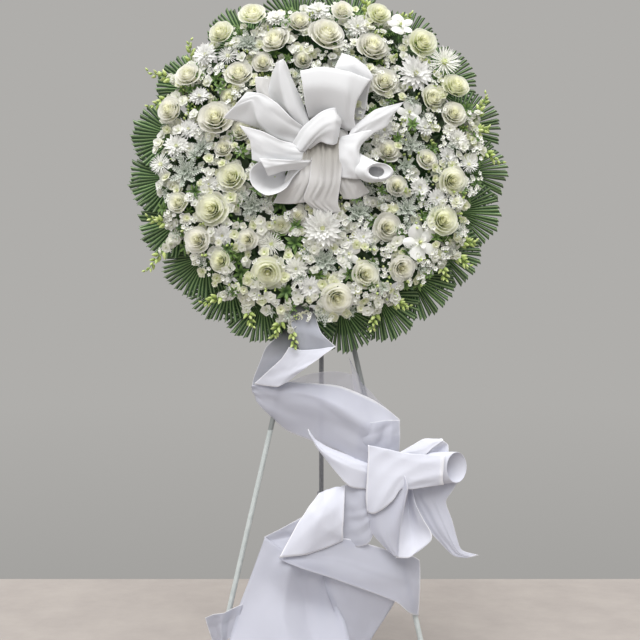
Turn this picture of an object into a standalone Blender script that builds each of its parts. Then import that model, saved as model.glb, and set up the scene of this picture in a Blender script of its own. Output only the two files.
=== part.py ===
"""Funeral flower stand: a round wreath of cream roses, white daisies and palm fans on a slim
leaning tripod, with a white cloth bow in its middle and a cloth train tied round the legs.

Metres, +Z up, front towards -Y. Two helper frames carry the pieces. In both, X is to the
right, +Y points back out of the leaning plane and +Z climbs it. The easel frame has its
origin on the ground line, the wreath frame at the middle of the foam's front face.
"""
import math
import random

import bmesh
import bpy
import numpy as np
from mathutils import Matrix, Vector

# Driving dimensions
LEAN = math.radians(8.0)
GROUND_Y = -0.175
WREATH_CLIMB = 1.159
FOAM_RADIUS = 0.330
FOAM_DEPTH = 0.050
BOARD_RADIUS = 0.305
BOARD_THICKNESS = 0.006
SEAT_GAP = 0.0003
BOARD_BACK = FOAM_DEPTH + SEAT_GAP + BOARD_THICKNESS
# What a hole's corner radius adds, so that its flat sides keep the gap too
ROUND_PLAY = 1.2 * SEAT_GAP
SQUARE_PLAY = 1.42 * SEAT_GAP

# The legs' axes end under the apex, the front ones half a top spread to each side of it
LEG_RADIUS = 0.006
LEG_SIDES = 10
LEG_PLANE = 0.076
APEX_X = 0.008
APEX_CLIMB = 1.012
LEG_DROP = 0.010
LEG_TOP_SPREAD = 0.013
FOOT_SPREAD = 0.226
FOOT_LIFT = 0.004
BACK_LEG_SETBACK = 0.014
BACK_FOOT_Y = 0.300
HEAD_BLOCK = (0.074, 0.044, 0.072)
HEAD_LIFT = 0.012
MAST_RADIUS = 0.005
MAST_FOOT = APEX_CLIMB + 0.014
MAST_TOP = 1.330
HANGER_WIDTH = 0.050
HANGER_HEIGHT = 0.030
HANGER_BEHIND_MAST = 0.012
HANGER_BEVEL = 0.002
CLAMP_HEIGHT = 0.330
CLAMP_LENGTH = 0.018
CLAMP_WALL = 0.0045
WING_SIZE = (0.012, 0.003, 0.010)
CAP_RADIUS = 0.012
CAP_HEIGHT = 0.030

FAN_HUB_RADIUS = 0.337
FAN_REACH = 0.113
FAN_DEPTH = 0.030
FAN_SPREAD = math.radians(160.0)
FAN_BLADES = 11
FAN_TILT = math.radians(8.0)
FAN_THICKNESS = 0.0010
# Shares of the fan's reach: where its pleats start, and where its blades part
FAN_HUB_SHARE = 0.07
FAN_SLIT_SHARE = 0.44
# Height of a pleat's fold for each unit of radius, and what is left of it at the tips
FAN_FOLD = 0.052
FAN_TIP_FOLD = 0.55
# How much of its own angle a blade's tip draws in on each side
FAN_TIP_NARROW = 0.17
PETIOLE_WIDTH = 0.0070
PETIOLE_END = 0.308
FAN_ANGLES = (357, 15, 35, 55, 78, 98, 120, 147, 168, 185, 202, 220, 233, 248, 263, 279, 294, 309,
              324, 341)

STEM_RADIUS = 0.0017
LINK_RADIUS = 0.8 * STEM_RADIUS
STEM_LIMIT = 0.320
LINK_STEP = 0.00023
HOLE_DEPTH = 0.018
# How far a cutter runs out past the skin that it opens
PAST_SKIN = 0.010
BLOOM_BASE = 0.023
BLOOM_DOME = 0.007
BLOOM_GAP = 0.0016
BED_RADIUS = 0.370
BUD_RADIUS = 0.025
LEAF_COUNT = 16

SPIRE_ROOT_RADIUS = 0.304
SPIRE_FORK_RADIUS = 0.343
SPIRE_DEPTH = 0.007
SPIRE_FORWARD = 0.16
SPIRE_GIRTH = 0.0085
SPIRE_BARE = 0.34
SPIRE_STALK_RADIUS = 1.15 * STEM_RADIUS

# The part of the bed that the bow in the middle hides
BOW_MIDDLE = (0.0, 0.055)
BOW_REACH = 0.125

# Flower places: across and up from the wreath's middle, and the radius, in millimetres
ROSES = (
    (-230, 295, 28), (-151, 332, 30), (-193, 209, 30), (-295, 186, 28), (-327, 102, 30),
    (-246, 74, 39), (-100, 276, 32), (-123, 232, 23), (14, 292, 39), (-35, 234, 21),
    (63, 345, 23), (118, 267, 35), (213, 285, 32), (167, 179, 32), (255, 139, 28),
    (306, 172, 30), (309, 102, 28), (167, 14, 26), (239, 9, 23), (181, -70, 23),
    (299, -58, 30), (271, -139, 32), (151, -165, 30), (190, -248, 28), (97, -262, 30),
    (39, -320, 34), (-109, -258, 35), (-77, -158, 21), (-158, -190, 23), (-204, -53, 32),
    (-239, -111, 35), (-316, -107, 23), (-269, -193, 28), (-218, -240, 23), (-183, 65, 23),
    (-46, -146, 19), (-204, 140, 21), (160, 340, 26), (-40, 330, 26), (-216, 19, 21),
)
DAISIES = (
    (-253, 246, 23), (-276, 150, 20), (-10, 338, 21), (288, 241, 30), (232, 225, 34),
    (153, 56, 21), (316, 42, 20), (2, -169, 37), (-102, -200, 21), (-16, -300, 22),
    (-53, -258, 21), (-216, -176, 21), (-304, 16, 23), (-343, -20, 20), (-262, -59, 18),
    (281, 0, 19), (237, -77, 21), (269, -93, 18), (-200, 250, 20), (100, 320, 22),
    (-105, 325, 20), (230, 60, 18), (-290, 70, 19), (340, -20, 18), (90, -190, 19),
)
ORCHIDS = ((241, 345, 28), (220, 107, 27), (230, -197, 36), (88, -216, 24))
MILLERS = (
    (-295, -21, 32), (-169, 290, 26), (95, -144, 28), (232, 30, 24), (16, -232, 28),
    (200, -120, 26), (-150, -110, 26), (60, 235, 24), (-265, 30, 24), (200, -10, 20),
)
# Each spire spray: the angle of its fork and the angles and reach (mm) of its tips
SPIRE_SPRAYS = (
    (148, ((136, 420), (152, 452), (162, 415))),
    (207, ((199, 415), (214, 470))),
    (240, ((232, 425), (249, 415))),
    (294, ((287, 415), (301, 400))),
    (324, ((316, 405), (324, 425), (332, 410))),
    (10, ((359, 425), (11, 405), (22, 425))),
    (66, ((58, 420), (76, 425))),
)

# Cloth. Sheets are grids of points in millimetres, in the wreath frame for the bow in the
# middle and in the easel frame for the rest. A bow's sheets start at its knot.
CLOTH_THICKNESS = 0.0024
# How near the knot's skin a sheet's first row stays, as a share of the way out
GATHER = 0.68
# The bow in the middle, on a pick that stands in the foam
BOW_KNOT = (16, -46, 44)
BOW_KNOT_SIZE = (0.036, 0.020, 0.030)
BOW_PICK_SIDES = 6
BOW_PICK_RADIUS = 0.003
BOW_PICK_DEPTH = 0.030
BOW_SHEETS = (
    # Big loop over the top
    (((-24, -46, 62), (16, -58, 66), (58, -46, 62)),
     ((-36, -72, 120), (28, -98, 128), (84, -72, 116)),
     ((-44, -84, 172), (40, -112, 178), (112, -82, 158)),
     ((-42, -74, 212), (66, -92, 208), (126, -72, 186))),
    # Spike at the upper left
    (((-26, -50, 52), (4, -58, 62)),
     ((-62, -76, 112), (-36, -84, 124)),
     ((-94, -84, 196), (-70, -92, 222))),
    # Point at the left
    (((-20, -48, 40), (-22, -58, 64)),
     ((-110, -86, 84), (-98, -74, 116)),
     ((-222, -80, 106), (-162, -70, 156))),
    # Fold at the lower left
    (((-16, -54, 20), (-24, -62, 54)),
     ((-90, -88, 22), (-106, -98, 62)),
     ((-142, -76, 8), (-196, -82, 88))),
    # Loop at the bottom left
    (((-4, -50, 16), (-22, -60, 34)),
     ((-64, -84, -14), (-88, -98, 6)),
     ((-98, -74, -64), (-152, -82, -12)),
     ((-140, -70, -76), (-156, -74, -36))),
    # Tails at the bottom
    (((6, -52, 20), (34, -56, 24)),
     ((-28, -84, -34), (20, -90, -30)),
     ((-98, -72, -88), (-28, -80, -92))),
    (((20, -48, 18), (52, -54, 28)),
     ((22, -82, -50), (60, -88, -44)),
     ((8, -70, -118), (78, -76, -104))),
    # Tail at the upper right
    (((36, -50, 34), (30, -56, 58)),
     ((116, -86, 54), (112, -92, 92)),
     ((188, -72, 74), (198, -76, 130))),
    # Loop at the right
    (((44, -50, 16), (48, -60, 44)),
     ((108, -80, -28), (116, -94, 18)),
     ((146, -74, -62), (172, -82, -8))),
)

# Depth at which a sheet lies against the front of the legs, in millimetres
TOUCH = 1000 * (LEG_PLANE - LEG_RADIUS - CLOTH_THICKNESS / 2) - 0.4

TRAIN_SHEETS = (
    # From under the flowers down to the left leg
    (((-74, -12, 798), (-34, -13, 804), (-6, -12, 798)),
     ((-84, -24, 752), (-32, -34, 756), (40, -30, 732)),
     ((-126, 4, 714), (-70, -20, 714), (-10, -8, 700)),
     ((-150, 40, 664), (-112, 34, 668), (-64, 36, 668)),
     ((-151, TOUCH, 640), (-110, TOUCH, 646), (-62, TOUCH, 652))),
    # Back across to the right leg
    (((-151, 66, 648), (-150, 66, 628)),
     ((-122, 64, 655), (-122, TOUCH, 592)),
     ((-69, 50, 656), (-76, TOUCH, 548)),
     ((18, 34, 646), (-28, 54, 520)),
     ((90, 44, 630), (50, 56, 496)),
     ((142, TOUCH, 598), (112, TOUCH, 456)),
     ((182, TOUCH, 562), (178, TOUCH, 426))),
)
LOWER_SHEETS = (
    # Twist that falls from the bow
    (((58, 44, 408), (-8, 40, 394)),
     ((54, 20, 360), (-40, 24, 340)),
     ((52, 22, 290), (-88, 30, 256))),
    # Panel across to the right leg
    (((-76, 36, 272), (-60, 34, 238)),
     ((14, 14, 282), (18, 18, 218)),
     ((102, 28, 276), (100, 34, 182)),
     ((166, TOUCH, 266), (176, TOUCH, 150)),
     ((228, TOUCH, 250), (222, TOUCH, 128))),
    # Skirt down to the floor
    (((-58, 38, 330), (40, 34, 300)),
     ((-118, 44, 300), (60, 30, 240)),
     ((-150, 40, 226), (90, 20, 180)),
     ((-176, 26, 140), (140, 6, 140)),
     ((-186, -6, 62), (126, -30, 62)),
     ((-214, -60, 2), (120, -76, -4)),
     ((-236, -128, -16.3), (96, -142, -18.3))),
)
LOWER_BOW_KNOT = (186, TOUCH - 13.1, 440)
LOWER_BOW_KNOT_SIZE = (0.026, 0.013, 0.026)
LOWER_BOW_SHEETS = (
    # Pointed tail at the left
    (((178, 40, 452), (180, 48, 424)),
     ((112, 20, 468), (84, 30, 430)),
     ((50, 20, 504), (28, 26, 474)),
     ((-22, 30, 542), (-18, 33, 532))),
    # Block at the top
    (((160, 40, 450), (206, 34, 448)),
     ((128, 6, 492), (214, 0, 486)),
     ((118, 16, 508), (190, 10, 492))),
    # Loop at the upper right
    (((190, 40, 448), (206, 36, 432)),
     ((232, 0, 500), (276, -6, 462)),
     ((252, 8, 522), (298, 4, 484)),
     ((300, 20, 518), (298, 24, 488))),
    # Rolled loop at the right
    (((200, 42, 440), (206, 46, 422)),
     ((270, 16, 470), (268, 20, 428)),
     ((330, 10, 484), (336, 14, 448))),
    # Tail at the lower right
    (((194, 40, 430), (214, 44, 436)),
     ((236, 10, 352), (282, 14, 388)),
     ((258, 18, 300), (308, 22, 330)),
     ((302, 24, 258), (352, 28, 256))),
    # Petal at the bottom
    (((176, 36, 434), (204, 38, 432)),
     ((118, 0, 352), (214, -6, 362)),
     ((130, 6, 302), (248, 2, 304)),
     ((182, 18, 252), (222, 16, 260))),
)

COLOURS = {
    "metal": ((0.60, 0.64, 0.58), 0.45, 0.0),
    "rubber": ((0.05, 0.05, 0.05), 0.8, 0.0),
    "board": ((0.42, 0.30, 0.19), 0.8, 0.0),
    "foam": ((0.10, 0.26, 0.10), 0.95, 0.0),
    "palm": ((0.045, 0.13, 0.045), 0.5, 0.0),
    "rose": ((0.87, 0.88, 0.68), 0.6, 0.0),
    "daisy": ((0.93, 0.94, 0.90), 0.6, 0.0),
    "orchid": ((0.96, 0.96, 0.97), 0.5, 0.0),
    "miller": ((0.55, 0.63, 0.55), 0.8, 0.0),
    "leaf": ((0.16, 0.30, 0.13), 0.6, 0.0),
    "spire": ((0.70, 0.80, 0.42), 0.6, 0.0),
    "cloth": ((0.90, 0.90, 0.94), 0.75, 0.0),
}


def clear_scene():
    for item in list(bpy.data.objects):
        bpy.data.objects.remove(item, do_unlink=True)


def new_collection(name):
    group = bpy.data.collections.new(name)
    bpy.context.scene.collection.children.link(group)
    return group


def material(name):
    if name in bpy.data.materials:
        return bpy.data.materials[name]
    colour, roughness, metallic = COLOURS[name]
    result = bpy.data.materials.new(name)
    result.use_nodes = True
    shader = result.node_tree.nodes["Principled BSDF"]
    shader.inputs["Base Color"].default_value = (*colour, 1.0)
    shader.inputs["Roughness"].default_value = roughness
    shader.inputs["Metallic"].default_value = metallic
    return result


def solid(mesh_data, name="piece"):
    """An object in the workshop collection from a bmesh."""
    mesh = bpy.data.meshes.new(name)
    bmesh.ops.recalc_face_normals(mesh_data, faces=mesh_data.faces)
    mesh_data.to_mesh(mesh)
    mesh_data.free()
    item = bpy.data.objects.new(name, mesh)
    WORKSHOP.objects.link(item)
    return item


def bake(item):
    """Apply an object's modifiers to its mesh."""
    bpy.context.view_layer.update()
    evaluated = item.evaluated_get(bpy.context.evaluated_depsgraph_get())
    mesh = bpy.data.meshes.new_from_object(evaluated)
    item.modifiers.clear()
    item.data = mesh
    return item


def combine(base, others, operation="UNION"):
    """Join the other solids to the base, or cut them out of it, and remove them."""
    if not others:
        return base
    tools = bpy.data.collections.new("tools")
    bpy.context.scene.collection.children.link(tools)
    for other in others:
        WORKSHOP.objects.unlink(other)
        tools.objects.link(other)
    step = base.modifiers.new("combine", "BOOLEAN")
    step.operation = operation
    step.operand_type = "COLLECTION"
    step.collection = tools
    step.solver = "EXACT"
    bake(base)
    for other in others:
        bpy.data.objects.remove(other, do_unlink=True)
    bpy.data.collections.remove(tools)
    return base


def finish(item, name, colour, frame, smooth=False):
    """Name the piece, give it its material and stand it in its frame."""
    item.name = name
    item.data.name = name
    item.data.materials.clear()
    item.data.materials.append(material(colour))
    if smooth:
        item.data.shade_smooth()
        item.data.set_sharp_from_angle(angle=math.radians(40))
    WORKSHOP.objects.unlink(item)
    STAND.objects.link(item)
    item.parent = frame
    return item


def loft(sections):
    """A closed solid through rings of points, which may differ in count; one point is a tip."""
    mesh = bmesh.new()
    rings = [[mesh.verts.new(point) for point in section] for section in sections]
    for low, high in zip(rings, rings[1:]):
        a, b = 0, 0
        while a < len(low) or b < len(high):
            ahead = a < len(low) and (b >= len(high) or (a + 1) / len(low) <= (b + 1) / len(high))
            if ahead:
                corners = (low[a], low[(a + 1) % len(low)], high[b % len(high)])
                a += 1
            else:
                corners = (high[b], low[a % len(low)], high[(b + 1) % len(high)])
                b += 1
            if len(set(corners)) == 3:
                mesh.faces.new(corners)
    for cap in (rings[0], rings[-1]):
        if len(cap) > 2:
            mesh.faces.new(cap)
    return mesh


def facing(direction):
    """The turn that points +Z along a direction."""
    return direction.to_track_quat("Z", "Y").to_matrix().to_4x4()


def rod(start, end, radius, sides=4):
    """A straight round bar between two points."""
    start, end = Vector(start), Vector(end)
    along = end - start
    mesh = bmesh.new()
    place = Matrix.Translation((start + end) / 2) @ facing(along)
    bmesh.ops.create_cone(mesh, cap_ends=True, segments=sides, radius1=radius, radius2=radius,
                          depth=along.length, matrix=place)
    return solid(mesh)


def block(centre, size, bevel=0.0):
    mesh = bmesh.new()
    place = Matrix.Translation(centre) @ Matrix.Diagonal((*size, 1))
    bmesh.ops.create_cube(mesh, size=1.0, matrix=place)
    item = solid(mesh)
    if bevel:
        step = item.modifiers.new("bevel", "BEVEL")
        step.width = bevel
        step.segments = 1
        bake(item)
    return item


def disc(radius, front, back, sides):
    """A flat disc in the wreath frame, between two depths."""
    mesh = bmesh.new()
    place = Matrix.Translation((0, (front + back) / 2, 0)) @ Matrix.Rotation(math.pi / 2, 4, "X")
    bmesh.ops.create_cone(mesh, cap_ends=True, segments=sides, radius1=radius, radius2=radius,
                          depth=back - front, matrix=place)
    return solid(mesh)


def sheet(rows):
    """A thin closed solid on a grid of points, each row the same length, in millimetres."""
    mesh = bmesh.new()
    grid = [[mesh.verts.new(Vector(point) / 1000) for point in row] for row in rows]
    for low, high in zip(grid, grid[1:]):
        for index in range(len(low) - 1):
            mesh.faces.new((low[index], low[index + 1], high[index + 1], high[index]))
    bmesh.ops.triangulate(mesh, faces=mesh.faces, quad_method="FIXED")
    item = solid(mesh)
    step = item.modifiers.new("thickness", "SOLIDIFY")
    step.thickness = CLOTH_THICKNESS
    step.offset = 0.0
    return bake(item)


# Blooms: rings of points that go on from the stem, with the base at the origin and facing +Z

def ring(count, radius_at, height_at):
    """A ring of points whose radius and height follow functions of the point's number."""
    points = []
    for index in range(count):
        angle = math.tau * index / count
        radius = radius_at(index)
        points.append(Vector((radius * math.cos(angle), radius * math.sin(angle), height_at(index))))
    return points


def rose(radius):
    """Three layers of three wrapped petals round a closed heart, or two on a half-open bud."""
    def petals(rim, low, shift):
        # Each petal runs from a proud edge to one tucked under its neighbour
        reach = (1.0, 1.02, 0.80)
        lift = (0.0, 0.05, -0.04)
        return ring(9, lambda i: radius * rim * reach[(i + shift) % 3],
                    lambda i: radius * (low + lift[(i + shift) % 3]))

    def groove(rim, height):
        return ring(9, lambda i: radius * rim, lambda i: radius * height)

    outer = [petals(0.99, 0.46, 0), groove(0.62, 0.41)]
    if radius < BUD_RADIUS:
        return outer + [petals(0.56, 0.84, 1), [Vector((0, 0, radius * 0.62))]]
    return outer + [petals(0.66, 0.75, 1), groove(0.38, 0.60), petals(0.36, 0.92, 2),
                    [Vector((0, 0, radius * 0.74))]]


def daisy(radius, petals=7):
    """A star of rays that rise a little, round a raised button."""
    def rays(index):
        return radius * (1.0 if index % 2 == 0 else 0.46)

    def lift(index):
        return radius * (0.34 if index % 2 == 0 else 0.22)

    eye = ring(2 * petals, lambda i: radius * 0.30, lambda i: radius * 0.26)
    return [ring(2 * petals, rays, lift), eye, [Vector((0, 0, radius * 0.42))]]


def orchid(radius):
    """Five broad rounded petals and a standing lip."""
    def petals(index):
        return radius * (1.0, 1.0, 0.42)[index % 3]

    def lift(index):
        return radius * (0.30, 0.36, 0.20)[index % 3]

    throat = ring(15, lambda i: radius * 0.16, lambda i: radius * 0.28)
    return [ring(15, petals, lift), throat, [Vector((0, 0, radius * 0.55))]]


def miller(radius):
    """A rosette of five felted leaves with lobed edges."""
    outline = (0.26, 0.72, 1.0, 0.72)
    height = (0.24, 0.36, 0.46, 0.36)
    edge = ring(20, lambda i: radius * outline[i % 4], lambda i: radius * height[i % 4])
    return [edge, [Vector((0, 0, radius * 0.40))]]


def leaf(radius):
    """A rosette of six pointed leaves."""
    edge = ring(12, lambda i: radius * (1.0, 0.36)[i % 2], lambda i: radius * (0.30, 0.16)[i % 2])
    return [edge, [Vector((0, 0, radius * 0.26))]]


HEADS = {"rose": rose, "daisy": daisy, "orchid": orchid, "miller": miller, "leaf": leaf}
# How far in front of the foam each kind's stems are joined
JOIN_HEIGHT = {"rose": 0.0035, "daisy": 0.0080, "leaf": 0.0125, "miller": 0.0170, "orchid": 0.0170}
SPRAYS = {"rose": 7, "daisy": 3, "leaf": 2, "miller": 2, "orchid": 2}
LONGEST_LINK = {"rose": 0.17, "daisy": 0.20, "leaf": 0.26, "miller": 0.28, "orchid": 0.28}


def spread_blooms():
    """Every bloom's kind, place and radius, eased apart until no two touch."""
    kinds, rows = [], []
    tables = {"rose": ROSES, "daisy": DAISIES, "orchid": ORCHIDS, "miller": MILLERS}
    for kind, table in tables.items():
        for across, up, radius in table:
            kinds.append(kind)
            rows.append((across / 1000, up / 1000, radius / 1000))
    rows = np.array(rows)
    home, place, size = rows[:, :2], rows[:, :2].copy(), rows[:, 2].copy()
    spare = np.where([kind in ("daisy", "miller") for kind in kinds], 1.16, 1.05)
    size = size * spare
    for turn in range(300):
        place += 0.5 * crowding(place, size) + (0.03 if turn < 120 else 0.0) * (home - place)
        place *= np.minimum(1.0, BED_RADIUS / np.linalg.norm(place, axis=1))[:, None]
    for _ in range(LEAF_COUNT):
        spot, room = widest_gap(place, size)
        kinds.append("leaf")
        place = np.vstack([place, spot])
        size = np.append(size, min(room, 0.032))
    distance = np.linalg.norm(place[:, None] - place[None], axis=2) + 10 * np.eye(len(size))
    share = (distance - BLOOM_GAP) / (size[:, None] + size[None])
    size *= np.minimum(1.0, share.min(axis=1))
    return kinds, place, size


def crowding(place, size):
    """How far each bloom is pushed by the ones that overlap it."""
    offset = place[:, None] - place[None]
    distance = np.linalg.norm(offset, axis=2) + np.eye(len(size))
    overlap = np.clip(size[:, None] + size[None] + BLOOM_GAP - distance, 0, None)
    np.fill_diagonal(overlap, 0)
    return (offset / distance[..., None] * overlap[..., None]).sum(axis=1)


def widest_gap(place, size):
    """The emptiest spot of the bed outside the bow, and the radius that is free there."""
    number = np.arange(900)
    reach = STEM_LIMIT * np.sqrt((number + 0.5) / 900)
    angle = number * math.pi * (3 - math.sqrt(5))
    spots = np.stack([reach * np.cos(angle), reach * np.sin(angle)], axis=1)
    spots = spots[np.linalg.norm(spots - np.array(BOW_MIDDLE), axis=1) > BOW_REACH]
    room = (np.linalg.norm(spots[:, None] - place[None], axis=2) - size).min(axis=1) - BLOOM_GAP
    best = int(room.argmax())
    return spots[best], room[best]


def gap_to_segment(point, start, end):
    along = end - start
    t = np.clip(np.dot(point - start, along) / max(np.dot(along, along), 1e-9), 0, 1)
    return np.linalg.norm(point - start - t * along)


def segments_cross(a, b, c, d):
    """Whether two flat segments come nearer than two stem widths."""
    def side(p, q, r):
        return (q[0] - p[0]) * (r[1] - p[1]) - (q[1] - p[1]) * (r[0] - p[0])
    if side(a, b, c) * side(a, b, d) < 0 and side(c, d, a) * side(c, d, b) < 0:
        return True
    near = min(gap_to_segment(a, c, d), gap_to_segment(b, c, d),
               gap_to_segment(c, a, b), gap_to_segment(d, a, b))
    return near < 2.1 * STEM_RADIUS


def join_blooms(kinds, place):
    """Group each kind's blooms into sprays along short links that pass clear of other stems."""
    clear = 2.3 * STEM_RADIUS
    groups = []
    drawn = []
    passed = []
    for kind, limit in SPRAYS.items():
        mine = [i for i, k in enumerate(kinds) if k == kind]
        level = JOIN_HEIGHT[kind]
        group_of = {i: i for i in mine}
        size_of = {i: 1 for i in mine}
        links = []
        # Blooms that stand past the foam hang on one that stands over it, so these pairs come first
        past = {i: np.linalg.norm(place[i]) > STEM_LIMIT for i in mine}
        pairs = sorted((past[i] == past[j], np.linalg.norm(place[i] - place[j]), i, j)
                       for i in mine for j in mine if i < j)
        standing = mine + passed
        for _, length, i, j in pairs:
            one, two = group_of[i], group_of[j]
            if len(set(group_of.values())) <= limit:
                break
            if one == two or length > LONGEST_LINK[kind]:
                continue
            if size_of[one] + size_of[two] > math.ceil(2.2 * len(mine) / limit):
                continue
            if any(gap_to_segment(place[k], place[i], place[j]) < clear
                   for k in standing if k not in (i, j)):
                continue
            same_level = [link for link, height in drawn if abs(height - level) < 0.004] + links
            if any(segments_cross(place[i], place[j], place[a], place[b])
                   for a, b in same_level if not {a, b} & {i, j}):
                continue
            links.append((i, j))
            for member in mine:
                if group_of[member] == two:
                    group_of[member] = one
            size_of[one] += size_of[two]
        drawn += [(link, level) for link in links]
        passed += mine
        for head in sorted(set(group_of.values())):
            members = [i for i in mine if group_of[i] == head]
            groups.append((kind, members, [link for link in links if link[0] in members]))
    return groups, drawn


def choose_root(members, kind, place, drawn):
    """The stem of a spray that goes on into the foam, the one with most room round it."""
    bored = []
    for degrees, _ in SPIRE_SPRAYS:
        out = np.array((math.cos(math.radians(degrees)), math.sin(math.radians(degrees))))
        bored.append((SPIRE_ROOT_RADIUS * out, FOAM_RADIUS * out))
    lower = [link for link, height in drawn if height < JOIN_HEIGHT[kind] - 0.001]

    def room(index):
        gaps = [gap_to_segment(place[index], place[a], place[b]) for a, b in lower]
        gaps += [gap_to_segment(place[index], start, end) - STEM_RADIUS for start, end in bored]
        return min(gaps)
    inside = [index for index in members if np.linalg.norm(place[index]) < STEM_LIMIT]
    return max(inside, key=room)


def stalk_rings(place, turn, radius, depths):
    """Square sections of an upright stalk, or of its hole, at each depth."""
    square = ring(4, lambda i: radius, lambda i: 0.0)
    upright = facing(Vector((0, -1, 0))) @ Matrix.Rotation(turn, 4, "Z")
    return [[Matrix.Translation((place[0], depth, place[1])) @ upright @ point for point in square]
            for depth in depths]


def bloom_solid(kind, place, radius, foot, turn):
    """A bloom on its stem: on a low dome, the outer ones looking a little outwards."""
    far = float(np.linalg.norm(place))
    height = BLOOM_BASE + BLOOM_DOME * (1 - far / FOAM_RADIUS)
    lean = math.radians(16) * far / FOAM_RADIUS
    out = Vector((place[0], 0, place[1])).normalized()
    look = Vector((0, -1, 0)) * math.cos(lean) + out * math.sin(lean)
    foot_of_head = Matrix.Translation((place[0], -height, place[1]))
    head = foot_of_head @ facing(look) @ Matrix.Rotation(turn, 4, "Z")
    sections = stalk_rings(place, turn, STEM_RADIUS, (foot, -height))
    sections += [[head @ point for point in section] for section in HEADS[kind](radius)]
    return solid(loft(sections))


def build_sprays(frame, draw):
    """All bloom sprays; returns where their stems enter the foam, and how each stem is turned."""
    kinds, place, size = spread_blooms()
    groups, drawn = join_blooms(kinds, place)
    numbers, holes = {}, []
    for kind, members, links in groups:
        root = choose_root(members, kind, place, drawn)
        pieces = []
        for index in members:
            foot = HOLE_DEPTH if index == root else -JOIN_HEIGHT[kind] + STEM_RADIUS
            turn = draw.uniform(0, math.tau)
            pieces.append(bloom_solid(kind, place[index], size[index], foot, turn))
            if index == root:
                holes.append((place[index], turn))
        for number, (a, b) in enumerate(links):
            # Small steps between links keep their flat sides out of one plane where they meet
            level = -JOIN_HEIGHT[kind] - LINK_STEP * (number % 3)
            ends = [(place[end][0], level, place[end][1]) for end in (a, b)]
            pieces.append(rod(*ends, LINK_RADIUS, 3))
        numbers[kind] = numbers.get(kind, 0) + 1
        spray = combine(pieces[0], pieces[1:])
        finish(spray, f"{kind}_spray_{numbers[kind]:02d}", kind, frame)
    return holes


# Palm fans and flower spires round the rim

def rim_point(angle, radius, depth):
    return Vector((radius * math.cos(angle), depth, radius * math.sin(angle)))


def build_fan(number, degrees, frame, draw):
    """A pleated fan leaf: blades joined near the hub, cut free and square further out."""
    angle = math.radians(degrees)
    reach = FAN_REACH * draw.uniform(0.96, 1.02)
    step = FAN_SPREAD / FAN_BLADES
    mesh = bmesh.new()

    def point(ray, radius, fold):
        return mesh.verts.new((radius * math.sin(ray), radius * math.cos(ray), fold * radius))

    def tip_radius(ray):
        return reach * (0.78 + 0.22 * math.cos(ray)) * draw.uniform(0.95, 1.0)

    def across(radius):
        return [mesh.verts.new((side * PETIOLE_WIDTH / 2, radius - FAN_HUB_RADIUS, 0)) for side in (1, -1)]

    rays = [-FAN_SPREAD / 2 + step * i for i in range(FAN_BLADES + 1)]
    folds = [FAN_FOLD if i % 2 else -FAN_FOLD for i in range(FAN_BLADES + 1)]
    inner = [point(ray, FAN_HUB_SHARE * reach, 0) for ray in rays]
    middle = [point(ray, FAN_SLIT_SHARE * reach, fold) for ray, fold in zip(rays, folds)]
    for i in range(FAN_BLADES):
        mesh.faces.new((inner[i], inner[i + 1], middle[i + 1], middle[i]))
        tip = tip_radius((rays[i] + rays[i + 1]) / 2)
        narrow = FAN_TIP_NARROW * step
        left = point(rays[i] + narrow, tip, FAN_TIP_FOLD * folds[i])
        tip *= draw.uniform(0.95, 1.03)
        right = point(rays[i + 1] - narrow, tip, FAN_TIP_FOLD * folds[i + 1])
        mesh.faces.new((middle[i], middle[i + 1], right, left))
    # The petiole is drawn in just outside the rim and ends inside it
    neck = across(FOAM_RADIUS + 0.002)
    tail = across(PETIOLE_END)
    mesh.faces.new(list(reversed(inner)))
    mesh.faces.new((inner[0], inner[-1], *neck))
    mesh.faces.new((neck[1], neck[0], *tail))
    bmesh.ops.triangulate(mesh, faces=mesh.faces, quad_method="FIXED")
    leaf = solid(mesh, "leaf")
    shell = leaf.modifiers.new("thickness", "SOLIDIFY")
    shell.thickness = FAN_THICKNESS
    shell.offset = 0.0
    bake(leaf)
    leaf.data.transform(fan_pose(angle))
    finish(leaf, f"palm_fan_{number:02d}", "palm", frame)


def fan_pose(angle):
    """A fan's own +Y points out along the rim's radius and its +Z to the front, tilted like a tile."""
    out = rim_point(angle, 1, 0)
    side = Vector((math.sin(angle), 0, -math.cos(angle)))
    turn = Matrix((side, out, Vector((0, -1, 0)))).transposed().to_4x4()
    hub = Matrix.Translation(rim_point(angle, FAN_HUB_RADIUS, FAN_DEPTH))
    return hub @ turn @ Matrix.Rotation(FAN_TILT, 4, "Y")


def spire(fork, tip, radius, whorls=4):
    """A stalk, then whorls of three florets, each over the gaps of the last, and a bud at the tip."""
    along = tip - fork
    pose = Matrix.Translation(fork) @ facing(along)
    bare = SPIRE_BARE * along.length
    sections = [ring(4, lambda i: STEM_RADIUS, lambda i: height) for height in (0.0, bare)]
    for whorl in range(whorls):
        share = whorl / whorls
        girth = radius * (1 - 0.6 * share)
        height = bare + (share + 0.1) * (along.length - bare)
        reach = (girth, 0.48 * girth) if whorl % 2 == 0 else (0.48 * girth, girth)
        sections.append(ring(6, lambda i: reach[i % 2], lambda i: height))
    sections.append([Vector((0, 0, along.length))])
    return solid(loft([[pose @ point for point in section] for section in sections]))


def spire_line(angle, radius):
    """A point on a spire's leaning stem: it tilts towards the front as it leaves the rim."""
    depth = SPIRE_DEPTH - SPIRE_FORWARD * (radius - FOAM_RADIUS)
    return rim_point(angle, radius, depth)


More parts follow.
